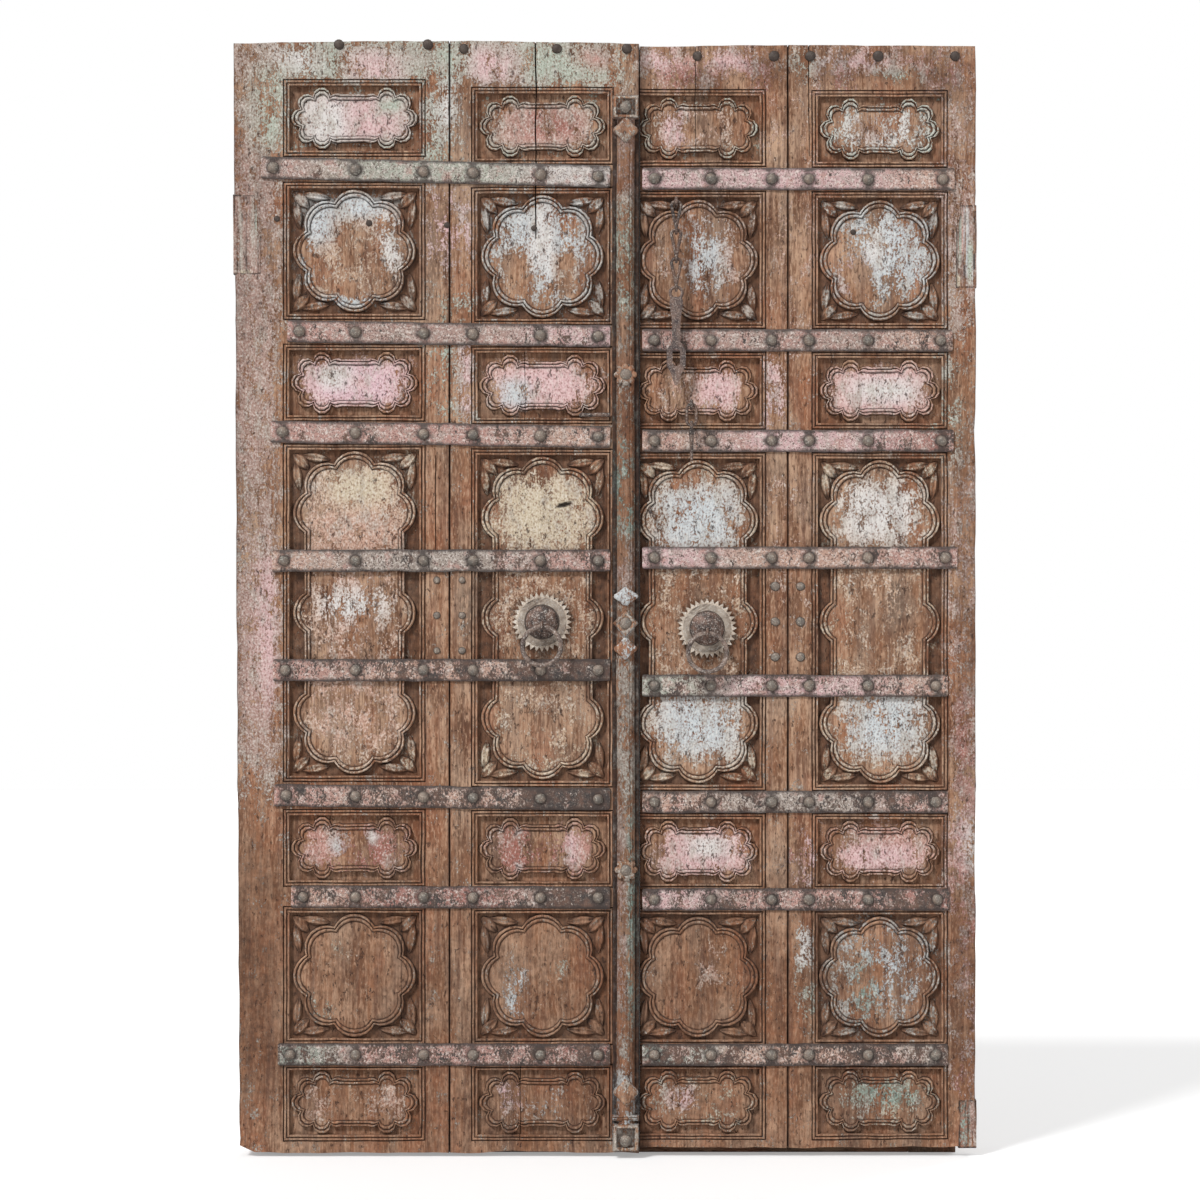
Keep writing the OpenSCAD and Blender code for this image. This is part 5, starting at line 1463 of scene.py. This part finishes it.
def add_bud(bm, z, wide, high, proud, petals=4, dip=0.26, point=3.0):
    """A pillow-shaped bud or rosette with soft points."""
    made = bmesh.ops.create_circle(bm, cap_ends=True, segments=8 * petals, radius=1, matrix=UPRIGHT)
    for vert in made["verts"]:
        vert.co *= 1 - dip + dip * abs(math.cos(petals / 2 * math.atan2(vert.co.z, vert.co.x))) ** point
    lifted = raise_outline(bm, made["verts"], wide, high, z, proud - 5.75)
    middle = Matrix.Translation((-AXIS_X, 0, -z))
    for shrink, rise in ((0.93, 2.4), (0.84, 1.7), (0.72, 1.0), (0.5, 0.6)):
        lifted = bmesh.ops.extrude_discrete_faces(bm, faces=[lifted])["faces"][0]
        bmesh.ops.translate(bm, vec=(0, -rise, 0), verts=lifted.verts)
        bmesh.ops.scale(bm, vec=(shrink, 1, shrink), verts=lifted.verts, space=middle)


print("astragal:", STRIP_SPAN, "mm long, discs at", [round(z) for z in DISCS])

# %% [markdown]
# ## The strip
# The half-round strip is nailed over the left leaf's meeting edge. Its section is drawn as a line and pulled
# up the door in short steps, so that it can carry paint and waver. A single long pull would leave nothing
# between its ends to move.

# %% Pull the strip
LENGTHS = 80  # steps in which the strip is pulled up


def strip_outline():
    """The section, as x from the axis and y from the planks' face."""
    points = [(-25, -9.0), (-24, -10.0), (-19, -10.0), (-17.4, -9.2)]
    for degrees in range(-88, 89, 8):
        flute = 1.6 if abs(abs(degrees) - 32) < 5 else 0.9 if abs(abs(degrees) - 64) < 5 else 0.0
        reach, angle = 17 - flute, math.radians(degrees)
        points.append((reach * math.sin(angle), -9 - reach * math.cos(angle)))
    return points + [(17.4, -9.2), (19, -10.0), (24, -10.0), (25, -9.0), (25, 0.5)]


def pull_edges(bm, edges, way):
    """Extrudes edges along a way and returns the new vertices and edges."""
    pulled = bmesh.ops.extrude_edge_only(bm, edges=edges)["geom"]
    verts = pick(pulled, bmesh.types.BMVert)
    bmesh.ops.translate(bm, vec=way, verts=verts)
    return verts, [e for e in pick(pulled, bmesh.types.BMEdge) if all(v in verts for v in e.verts)]


def strip_bar():
    """The plain strip with closed ends."""
    bm = bmesh.new()
    vert = bm.verts.new((AXIS_X - 25, FRONT + 0.5, STRIP_FOOT))
    for x, y in strip_outline():
        vert = pull_point(bm, vert, (AXIS_X + x, FRONT + y, STRIP_FOOT))
    edges = bm.edges[:]
    for _ in range(LENGTHS):
        edges = pull_edges(bm, edges, (0, 0, STRIP_SPAN / LENGTHS))[1]
    bmesh.ops.holes_fill(bm, edges=[e for e in bm.edges if e.is_boundary], sides=0)
    return bm


print("points in the section:", len(strip_outline()))

# %% [markdown]
# ## Astragal
# Strip and ornaments become one piece, because they were carved from one length of wood. Dirt and painted
# shade go by the distance from the planks' face: the ornaments' grooves and the strip's foot are dark, and
# their crowns are rubbed clean.

# %% Carve the astragal
BUDS = [(STRIP_FOOT + 112, 24, 26), (STRIP_MID - 48, 22, 22), (STRIP_MID + 51, 24, 19),
        (STRIP_TOP - 66, 24, 24)]  # height, half width and half height
GROOVES = (30.2, 28.2, 26.7, 29.5, 27.5)  # distances of the ornaments' grooves from the face
STRIP_PAINT = [
    ("blush", 0.5, 37, 1900, 80, 160), ("mint", 0.45, 30, 1700, 30, 120), ("teal", 0.45, 37, 1250, 80, 160),
    ("blush", 0.5, 37, 1120, 30, 60), ("grey", 0.5, 37, 800, 80, 260), ("teal", 0.5, 45, 450, 20, 240),
    ("blush", 0.5, 28, 450, 14, 240), ("ice", 0.5, 37, 80, 80, 90), "zones",
]


def add_ornaments(bm):
    """Buds, discs and blocks along the strip."""
    root = math.sqrt(2)
    for z, wide, high in BUDS:
        add_bud(bm, z, wide, high, 32)
    add_block(bm, 24, 28, STRIP_MID, 31)
    for z in DISCS:
        add_bud(bm, z, 22, 22, 31, 8, 0.24, 0.8)
    for z, tall in ((STRIP_FOOT + 26, 52), (STRIP_TOP - 22, 44)):
        add_block(bm, 25 * root, tall / 2 * root, z, 28.5, math.pi / 4, 0.8)
    add_block(bm, 25 * root, 5 * root, STRIP_FOOT + 63, 26.5, math.pi / 4, 0.9)


bm = strip_bar()
add_ornaments(bm)
deep = np.array([v.co.y - FRONT for v in bm.verts])
off_middle = np.array([v.co.z for v in bm.verts]) - STRIP_MID
groove = np.min([np.abs(deep + d) for d in GROOVES], axis=0) < 0.12
wobble(bm, bm.verts, (0.8, 0.5, 0.4), 40, 4.4)
for vert in bm.verts:
    vert.co.x += 1.6 * noise.noise(Vector((3.3, 0.2, vert.co.z / 260)))
strip = finish_piece(bm, "astragal_carved", "left_leaf", CARVED, ["astragal"], 30)
# Dark at the strip's foot by the planks and in the grooves: dirt with painted shade.
dirt_and_shade = np.where(deep > -10.2, 0.7, np.where(deep > -26.4, 0.3, np.where(deep > -27, 0.6, 0.1)))
raised = deep < -26.4
zones = [("ice", 0.6, raised & (np.abs(off_middle - 51) < 20)),
         ("ice", 0.58, raised & (np.abs(off_middle + 48) < 23)),
         ("grey", 0.5, raised & (np.abs(off_middle) < 24)),
         ("grey", 0.45, raised & (np.abs(off_middle) > 90))]
lay_paint(strip, STRIP_PAINT, start=("grey", 0.4), dirt_and_shade=np.where(groove, 0.6, dirt_and_shade), zones=zones)

bm = bmesh.new()
for z in (STRIP_FOOT + 21, DISCS[0], STRIP_MID, DISCS[1], STRIP_TOP - 23):
    add_head(bm, (AXIS_X, FRONT - 28, z), 12, 7.2)
heads = finish_piece(bm, "astragal_nail_heads", "left_leaf", STUD_IRON,
                     ["astragal_nails"], 50)
ring_of_dirt_and_shade(heads, FRONT - 28)

# %% [markdown]
# ## Round bar
# Rings, staples, chain links and the pin are all round bar. A circle is pulled along a path point by point
# and turned to face the way the path goes, as a smith bends a bar. A curve with a bevel would do the same,
# but here the bar's own vertices can be tapered and pushed about.

# %% Bar helpers
def arc(middle, radius, start, stop, count, plane="xz"):
    """Points on an arc, in degrees; the plane is named by its two axes."""
    points = []
    for number in range(count + 1):
        angle = math.radians(start + (stop - start) * number / count)
        along, up = radius * math.cos(angle), radius * math.sin(angle)
        points.append(Vector(middle) + (Vector((along, 0, up)) if plane == "xz" else Vector((0, along, up))))
    return points


def hoop(middle, radius, count, plane="xz"):
    """Points round a whole circle, from its top."""
    return arc(middle, radius, 90, 90 + 360 * (count - 1) / count, count - 1, plane)


def ways_of(points, closed):
    """The direction of a path at each of its points."""
    ways = []
    for number in range(len(points)):
        before = points[number - 1] if number else (points[-2] if closed else points[0])
        after = points[number + 1] if number + 1 < len(points) else (points[1] if closed else points[-1])
        ways.append((after - before).normalized())
    return ways


def pull_bar(bm, points, radius, sides=12, closed=False, tip=None):
    """Pulls a circle along points and returns its vertices. With a tip, the radius shrinks to it."""
    points = [Vector(p) for p in points]
    if closed:
        points.append(points[0].copy())
    ways = ways_of(points, closed)
    turn = Vector((0, 0, 1)).rotation_difference(ways[0]).to_matrix().to_4x4()
    made = bmesh.ops.create_circle(bm, cap_ends=not closed, segments=sides, radius=radius,
                                   matrix=Matrix.Translation(points[0]) @ turn)["verts"]
    every, edges = list(made), list({e for v in made for e in v.link_edges})
    for number in range(1, len(points)):
        spot = points[number]
        verts, edges = pull_edges(bm, edges, spot - points[number - 1])
        bend = ways[number - 1].rotation_difference(ways[number]).to_matrix()
        bmesh.ops.rotate(bm, cent=spot, matrix=bend, verts=verts)
        if tip:
            want = radius + (tip - radius) * number / (len(points) - 1)
            for vert in verts:
                vert.co = spot + (vert.co - spot).normalized() * want
        every += verts
    if closed:
        bmesh.ops.remove_doubles(bm, verts=every, dist=0.05)
    else:
        bmesh.ops.contextual_create(bm, geom=edges)
    return [v for v in every if v.is_valid]


def staple(node, body, x, y, z, radius):
    """A bar bent to a bow, with both legs in the wood."""
    bm = bmesh.new()
    upper, lower = (x, FRONT + 20, z + radius), (x, FRONT + 20, z - radius)
    pull_bar(bm, [upper] + arc((x, y, z), radius, 90, 270, 10, "yz") + [lower], 3)
    finish_piece(bm, node + "_bar", body, DARK_IRON, [node], 50)


print("points round a hoop:", len(hoop((0, 0, 0), 1, 24)))

# %% [markdown]
# ## Ring pulls
# Each pull is a toothed plate with a domed boss, a staple that goes through both, and a hanging ring. The
# plate's teeth come from a circle whose every other vertex is drawn in, and a beaded ridge inside is made in
# the same way. The boss is the head's profile again, with more sides.

# %% Plates, bosses, staples and rings
PULLS = {"left": (-121.75, 1016.0), "right": (191.75, 1004.0)}
TEETH, TEETH_IN, BEADS = 57, 48, 43  # radii
# Rings of the plate from the back to the middle: (radius, height).
PLATE = [(TEETH, 0.0), (TEETH, 3.8), (46.5, 4.2), (45.5, 5.8), (BEADS, 6.6), (38.5, 6.2), (37, 3.6),
         (34.5, 3.6), (33, 7.0)]


def plate_mesh():
    """A toothed plate about the origin."""
    bm, rings = bmesh.new(), []
    for radius, out in PLATE:
        verts = bmesh.ops.create_circle(bm, segments=64, radius=radius,
                                        matrix=Matrix.Translation((0, -out, 0)) @ UPRIGHT)["verts"]
        for vert in verts[1::2] if radius == TEETH else ():
            vert.co = Vector((vert.co.x * TEETH_IN / TEETH, vert.co.y, vert.co.z * TEETH_IN / TEETH))
        for vert in verts[::2] if radius == BEADS else ():
            vert.co = Vector((vert.co.x * 0.95, vert.co.y + 1.6, vert.co.z * 0.95))
        rings.append(list({e for v in verts for e in v.link_edges}))
    for first, second in zip(rings, rings[1:]):
        bmesh.ops.bridge_loops(bm, edges=first + second)
    for rim in (rings[-1], rings[0]):
        bmesh.ops.contextual_create(bm, geom=rim)
    return bm


def forge_plate(side, x, z):
    bm = plate_mesh()
    wobble(bm, bm.verts, (0.6, 0.5, 0.6), 18, x)
    bmesh.ops.translate(bm, vec=(x, FRONT, z), verts=bm.verts)
    away = np.array([math.hypot(v.co.x - x, v.co.z - z) for v in bm.verts])
    plate = finish_piece(bm, side + "_toothed_plate", side + "_leaf", PLATE_IRON,
                         [side + "_pull_plate"], 30)
    up = np.array([FRONT - v.co.y * 1000 for v in plate.data.vertices])
    # Dark round the boss and along the plate's foot on the wood: dirt with painted shade.
    dirt_and_shade = np.where(away < 37.6, 0.85, np.where(away < 46, 0.35, 0.05))
    lay_paint(plate, [], dirt_and_shade=np.where(up < 1.5, 0.9, dirt_and_shade))


for side, (x, z) in PULLS.items():
    forge_plate(side, x, z)
    bm = bmesh.new()
    add_head(bm, (x, FRONT - 7, z), 31, 16, BOSS_HEAD, 0.12)
    finish_piece(bm, side + "_domed_boss", side + "_leaf", BOSS_IRON, [side + "_pull_boss"], 50)
    eye = z - 9
    staple(side + "_pull_staple", side + "_leaf", x, FRONT - 32, eye, 8.1)
    bm = bmesh.new()
    ring = pull_bar(bm, hoop((x, FRONT - 32, eye - 36.5), 36.5, 48), 4.5, 14, True)
    wobble(bm, ring, (0.5, 0.3, 0.5), 15, x)
    finish_piece(bm, side + "_pull_ring", side + "_ring", RING_IRON, [side + "_ring"], 60)

# %% [markdown]
# ## Chain
# A staple holds three links. Each link is one bar bent into a bow and closed in a small eye that stands
# across it, where the next link hangs. The knot where the bar closes is a ball, drawn out a little.

# %% Staples and chain
CHAIN_X, CHAIN_Y, CHAIN_Z, PITCH = 132.75, FRONT - 26, 1812.0, 54.0
PIN_X, PIN_Z = 161.75, 1428.0
EYE, BOW = 6.6, 9  # radii of the small eyes and of the bows, to the middle of the bar
staple("chain_staple", "right_leaf", CHAIN_X, CHAIN_Y, CHAIN_Z, EYE)
staple("pin_staple", "right_leaf", PIN_X, CHAIN_Y, PIN_Z, EYE)
for number in (1, 2, 3):
    bm = bmesh.new()
    z = CHAIN_Z - (number - 1) * PITCH
    neck = z - PITCH + 9.6
    ends = [(CHAIN_X + 1.2, CHAIN_Y, neck)], [(CHAIN_X - 1.2, CHAIN_Y, neck)]
    pull_bar(bm, ends[0] + arc((CHAIN_X, CHAIN_Y, z - BOW), BOW, 0, 180, 12) + ends[1], 3.05)
    pull_bar(bm, hoop((CHAIN_X, CHAIN_Y, z - PITCH), EYE, 18, "yz"), 3.0, 12, True)
    knot = bmesh.ops.create_uvsphere(bm, u_segments=12, v_segments=8, radius=4.5,
                                     matrix=Matrix.Translation((CHAIN_X, CHAIN_Y, neck)))
    bmesh.ops.scale(bm, vec=(1, 1, 1.3), verts=knot["verts"],
                    space=Matrix.Translation((-CHAIN_X, -CHAIN_Y, -neck)))
    name = f"chain_link_{number}"
    finish_piece(bm, name + "_bar", name, DARK_IRON, [name], 60)

# %% [markdown]
# ## Hasp
# The chain ends in a flat hasp with a slot that goes over a staple. Half its outline is given and mirrored,
# the slot is two spun half circles, and the sheet between the two lines is filled and thickened.

# %% Hasp
HASP_Z, HASP_Y = CHAIN_Z - 3 * PITCH, CHAIN_Y - 3
NECK_UP, SLOT_UP, TIP_UP = -23.0, -133.0, -186
HALF = [(11, NECK_UP + 4), (13, NECK_UP - 6), (8, NECK_UP - 42), (8, SLOT_UP + 29), (18, SLOT_UP + 13),
        (18, SLOT_UP - 15), (10, SLOT_UP - 31), (2.5, TIP_UP)]


def hasp_spot(x, up):
    """A spot on the hasp's front, from the middle of its joint."""
    return CHAIN_X + x, HASP_Y, HASP_Z + up


bm = bmesh.new()
pull_bar(bm, hoop((CHAIN_X, CHAIN_Y, HASP_Z - 11.5), 11.5, 24), 3, 12, True)
first = vert = bm.verts.new(hasp_spot(-HALF[0][0], HALF[0][1]))
for x, up in HALF + [(-x, up) for x, up in HALF[:0:-1]]:
    vert = pull_point(bm, vert, hasp_spot(x, up))
bm.edges.new((vert, first))
first = vert = bm.verts.new(hasp_spot(7, SLOT_UP + 10))
for middle, leg in ((10, -7), (-10, 7)):
    made = bmesh.ops.spin(bm, geom=[vert], cent=hasp_spot(0, SLOT_UP + middle), axis=(0, -1, 0),
                          angle=math.pi, steps=8)
    vert = pick(made["geom_last"], bmesh.types.BMVert)[0]
    if leg < 0:
        vert = pull_point(bm, vert, hasp_spot(leg, SLOT_UP - 10))
bm.edges.new((vert, first))
rims = [e for e in bm.edges if all(abs(v.co.y - HASP_Y) < 0.001 for v in e.verts) and not e.link_faces]
sheet = bmesh.ops.triangle_fill(bm, edges=rims, use_beauty=True, normal=(0, -1, 0))["geom"]
bmesh.ops.solidify(bm, geom=pick(sheet, bmesh.types.BMFace), thickness=6)
finish_piece(bm, "hasp_forged", "hasp", HASP_IRON, ["hasp"], 40)

# %% [markdown]
# ## Locking pin
# A tapered pin hangs from the second staple on a long link. It was pushed through a staple to hold the hasp.

# %% Pin and its link
bm = bmesh.new()
path = (arc((PIN_X, CHAIN_Y, PIN_Z - BOW), BOW, 0, 180, 10)
        + arc((PIN_X, CHAIN_Y, PIN_Z - 31), BOW, 180, 360, 10))
pull_bar(bm, path, 3, 12, True)
finish_piece(bm, "pin_link_bar", "pin_link", DARK_IRON, ["pin_link"], 60)

bm = bmesh.new()
z = PIN_Z - 40
pull_bar(bm, hoop((PIN_X, CHAIN_Y, z), EYE, 18, "yz"), 3, 12, True)
pull_bar(bm, [(PIN_X, CHAIN_Y, z - EYE - 61.4 * n / 6) for n in range(7)], 5, 12, tip=2.5)
finish_piece(bm, "locking_pin_bar", "locking_pin", DARK_IRON, ["locking_pin"], 50)

# %% [markdown]
# ## Catch bar and broken staple
# A short round bar on the left leaf once took the hasp's end, and a bent stub is all that is left of another
# staple. Both are bars again, along paths of a few points each.

# %% Catch bar and stub
bm = bmesh.new()
bend, level = 8.25 - 58 + 4, 1409
pull_bar(bm, [(8.25, FRONT - 6, level), (-10, FRONT - 6.4, level + 0.6), (-30, FRONT - 6.2, level - 0.2),
              (bend + 2, FRONT - 6, level), (bend - 1.2, FRONT - 4.4, level), (bend - 2, FRONT + 4, level),
              (bend - 2, FRONT + 16, level)], 4, 12)
finish_piece(bm, "catch_bar_forged", "left_leaf", DARK_IRON, ["catch_bar"], 50)

bm = bmesh.new()
pull_bar(bm, [(82.75, FRONT + 16, 1232), (82.75, FRONT - 8, 1232), (82.9, FRONT - 12.5, 1231),
              (83.6, FRONT - 14, 1227), (87.4, FRONT - 14.2, 1214.5)], 3, 10)
finish_piece(bm, "broken_staple_stub", "right_leaf", DARK_IRON, ["broken_staple"], 50)

# %% [markdown]
# ## Repair patches
# Three patches of newer wood fill damaged spots along the outer edges. Each is a block with grooves along the
# grain, where paint has worn through, and with dirt in the joint round it. The left one leans with its plank.

# %% Patches
# x from and to, z from and to, the paint below, and strokes over it.
PATCHES = {
    "left_patch": (-704.6, -654, 1676, 1828, ("blush", 0.6), [
        ("grey", 0.85, -694, 1760, 4, 90), ("blush", 0.8, -683, 1730, 4, 60),
        ("grey", 0.8, -672, 1780, 3, 60), ("mint", 0.8, -664, 1790, 4, 40),
        ("cream", 0.98, -688, 1681, 14, 4)]),
    "right_upper_patch": (664, 704, 1650, 1808, ("blush", 0.55), [
        ("mint", 0.9, 671, 1750, 5, 60), ("ice", 0.92, 684, 1740, 6, 70), ("mint", 0.92, 692, 1700, 6, 45),
        ("rose", 0.6, 678, 1740, 2.0, 60), ("white", 0.95, 684, 1770, 3, 40),
        ("cream", 0.95, 669, 1664, 6, 14), ("white", 0.9, 697, 1680, 2, 24)]),
    "right_lower_patch": (669.25, 704, 16, 108, ("grey", 0.45), [
        ("teal", 0.6, 678, 70, 5, 50), ("blush", 0.7, 696, 60, 6, 60), ("teal", 0.55, 688, 40, 3, 40)]),
}


def patch_block(wide, high):
    """A thin block with worn edges, cut finely enough for grooves."""
    bm = bmesh.new()
    bmesh.ops.create_cube(bm, size=1)
    bmesh.ops.scale(bm, vec=(wide, 30.4, high), verts=bm.verts)
    round_edges(bm, bm.edges[:], 1.2)
    grid_cut(bm, bm.faces[:], (-wide / 2, 0, -high / 2), (wide / 2, 0, high / 2), 2.6)
    return bm


def let_in(name):
    lo, hi, low, high, paint, streaks = PATCHES[name]
    bm = patch_block(hi - lo, high - low)
    grooves = np.array([noise.noise(Vector((v.co.x / 4.5, low, v.co.z / 260))) for v in bm.verts])
    for vert, groove in zip(bm.verts, grooves):
        if vert.co.y < -14:
            vert.co.y += 0.7 + 0.9 * groove
    wobble(bm, bm.verts, (0.8, 0.2, 0.8), 30, low)
    bmesh.ops.translate(bm, vec=((lo + hi) / 2, FRONT + 14.3, (low + high) / 2), verts=bm.verts)
    for vert in bm.verts if lo < 0 else ():
        vert.co.x += edge_lean(vert.co.z) * max(0, 1 - (vert.co.x - lo) / BEND)
    piece = finish_piece(bm, name + "_let_in", side_of(name) + "_leaf", PATCH, [name])
    spots = np.array([v.co * 1000 for v in piece.data.vertices])
    edge = np.minimum(spots[:, 2] - low, high - spots[:, 2])
    edge = np.minimum(edge, spots[:, 0] - lo if lo > 0 else hi - spots[:, 0])
    # Dark in the joint round the patch, and where the grooves sink deeper: dirt, with painted shade in the
    # grooves.
    dirt_and_shade = np.maximum(np.clip(1.0 - edge / 5, 0.05, 1.0), np.clip(grooves * 3.0, 0, 0.7))
    lay_paint(piece, streaks, start=paint, dirt_and_shade=dirt_and_shade)


for name in PATCHES:
    let_in(name)

# %% [markdown]
# ## Ledges
# Five ledges stiffen the back of each leaf, and the studs of their straps go right through them. Each is a
# rough-sawn batten: a block with worn corners that is cut into short lengths and made a little uneven.

# %% Ledges on the back
for side, leaf in LEAVES.items():
    low, high = (corner * 1000 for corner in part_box(side + "_ledges"))
    middle = (high.x + low.x) / 2
    bm = bmesh.new()
    for number in LEDGED:
        verts = bmesh.ops.create_cube(bm, size=1)["verts"]
        bmesh.ops.scale(bm, vec=(high.x - low.x, LEDGE_THICK, 62), verts=verts)
        worn = round_edges(bm, list({e for v in verts for e in v.link_edges}), 2.5)["verts"]
        level = strap_line(leaf, number)[1](middle)
        bmesh.ops.translate(bm, vec=(middle, BACK + LEDGE_THICK / 2, level), verts=worn)
    grid_cut(bm, bm.faces[:], low, high, 26)
    wobble(bm, bm.verts, (0.8, 0.5, 1.2), 60, leaf["side"] * 5.5)
    finish_piece(bm, side + "_sawn_ledges", side + "_leaf", FRAME_ACROSS, [side + "_ledges"])

# %% [markdown]
# ## Frame and hinges
# The frame, the hinge straps and the pintles keep their measured shapes. Their meshes are welded and their
# edges softened with modifiers, and they get wood and iron of their own.

# %% Dress the measured nodes
def dress(names, material, width):
    """Gives measured nodes a material and soft edges, width in metres."""
    for name in names:
        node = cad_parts[name]
        node.data.materials.clear()
        node.data.materials.append(material)
        weld = node.modifiers.new("weld", "WELD")
        weld.merge_threshold = 0.00002
        soft = node.modifiers.new("soften", "BEVEL")
        soft.width = width
        soft.segments = 2
        soft.limit_method = "ANGLE"
        soft.angle_limit = math.radians(40)
    print("dressed:", ", ".join(names))


dress(["frame_left_jamb", "frame_right_jamb"], FRAME_UP, 0.0025)
dress(["frame_head", "frame_sill"], FRAME_ACROSS, 0.0025)
dress(["frame_pegs"], PEG, 0.0008)
dress(["left_hinge_straps", "right_hinge_straps", "left_pintles", "right_pintles"], DARK_IRON, 0.0008)

# %% [markdown]
# ## Floor and background
# The door stands on a pale floor before a white background. If both were as bright for the door as they are
# for the camera, they would wash out its shadows. So the extra light is given only to rays that look at them.

# %% Floor and background
def seen_directly(tree):
    """One where the camera, a reflection or a glass sees a surface, nought where it only lights others."""
    path = tree.nodes.new("ShaderNodeLightPath")
    straight = maths(tree, "MAXIMUM", path.outputs["Is Camera Ray"], path.outputs["Is Glossy Ray"])
    return maths(tree, "MAXIMUM", straight, path.outputs["Is Transmission Ray"])


def place(name, data):
    """Makes an object and links it to the scene."""
    made = bpy.data.objects.new(name, data)
    bpy.context.scene.collection.objects.link(made)
    return made


bm = bmesh.new()
bmesh.ops.create_grid(bm, x_segments=1, y_segments=1, size=12)
floor = place("floor", keep_mesh(bm, "floor"))
pale, tree, surface, _ = start_material("Pale floor")
surface.inputs["Base Color"].default_value = (0.7, 0.7, 0.7, 1)
surface.inputs["Roughness"].default_value = 0.9
surface.inputs["Emission Color"].default_value = (1, 1, 1, 1)
tree.links.new(maths(tree, "MULTIPLY", seen_directly(tree), 0.32), surface.inputs["Emission Strength"])
floor.data.materials.append(pale)

world = bpy.data.worlds.new("studio")
bpy.context.scene.world = world
world.use_nodes = True
tree = world.node_tree
backdrop = tree.nodes["Background"]
backdrop.inputs["Color"].default_value = (1, 1, 1, 1)
tree.links.new(ramp(tree, seen_directly(tree), 0, 1, 0.34, 1.0), backdrop.inputs["Strength"])
print("floor and background are in place")

# %% [markdown]
# ## Light and camera
# A soft far lamp from the upper left shows the carving, a weak one softens its shadows, and a third reaches
# the back. The camera looks straight at the front with a long lens, as in the photo.

# %% Lamps and camera
def far_lamp(name, towards, strength, softness):
    """A distant lamp: even light over the whole door, with shadows as soft as its angle is wide."""
    lamp = bpy.data.lights.new(name, "SUN")
    lamp.energy = strength
    lamp.angle = math.radians(softness)
    made = place(name, lamp)
    made.rotation_euler = Vector(towards).to_track_quat("-Z", "Y").to_euler()


far_lamp("key", (0.62, 0.8, -0.95), 2.95, 12)
far_lamp("front fill", (-0.6, 0.9, -0.2), 0.35, 40)
far_lamp("back", (-0.4, -0.8, -0.7), 1.6, 30)

lens = bpy.data.cameras.new("camera")
lens.lens = 100
lens.sensor_width = 36
camera = place("camera", lens)
camera.location = (-0.0114, -6.425, 1.0577)
camera.rotation_euler = (math.pi / 2, 0, 0)
bpy.context.scene.camera = camera
bpy.context.scene.view_settings.view_transform = "Standard"
print("lamps:", len(bpy.data.lights), " lens:", lens.lens, "mm")
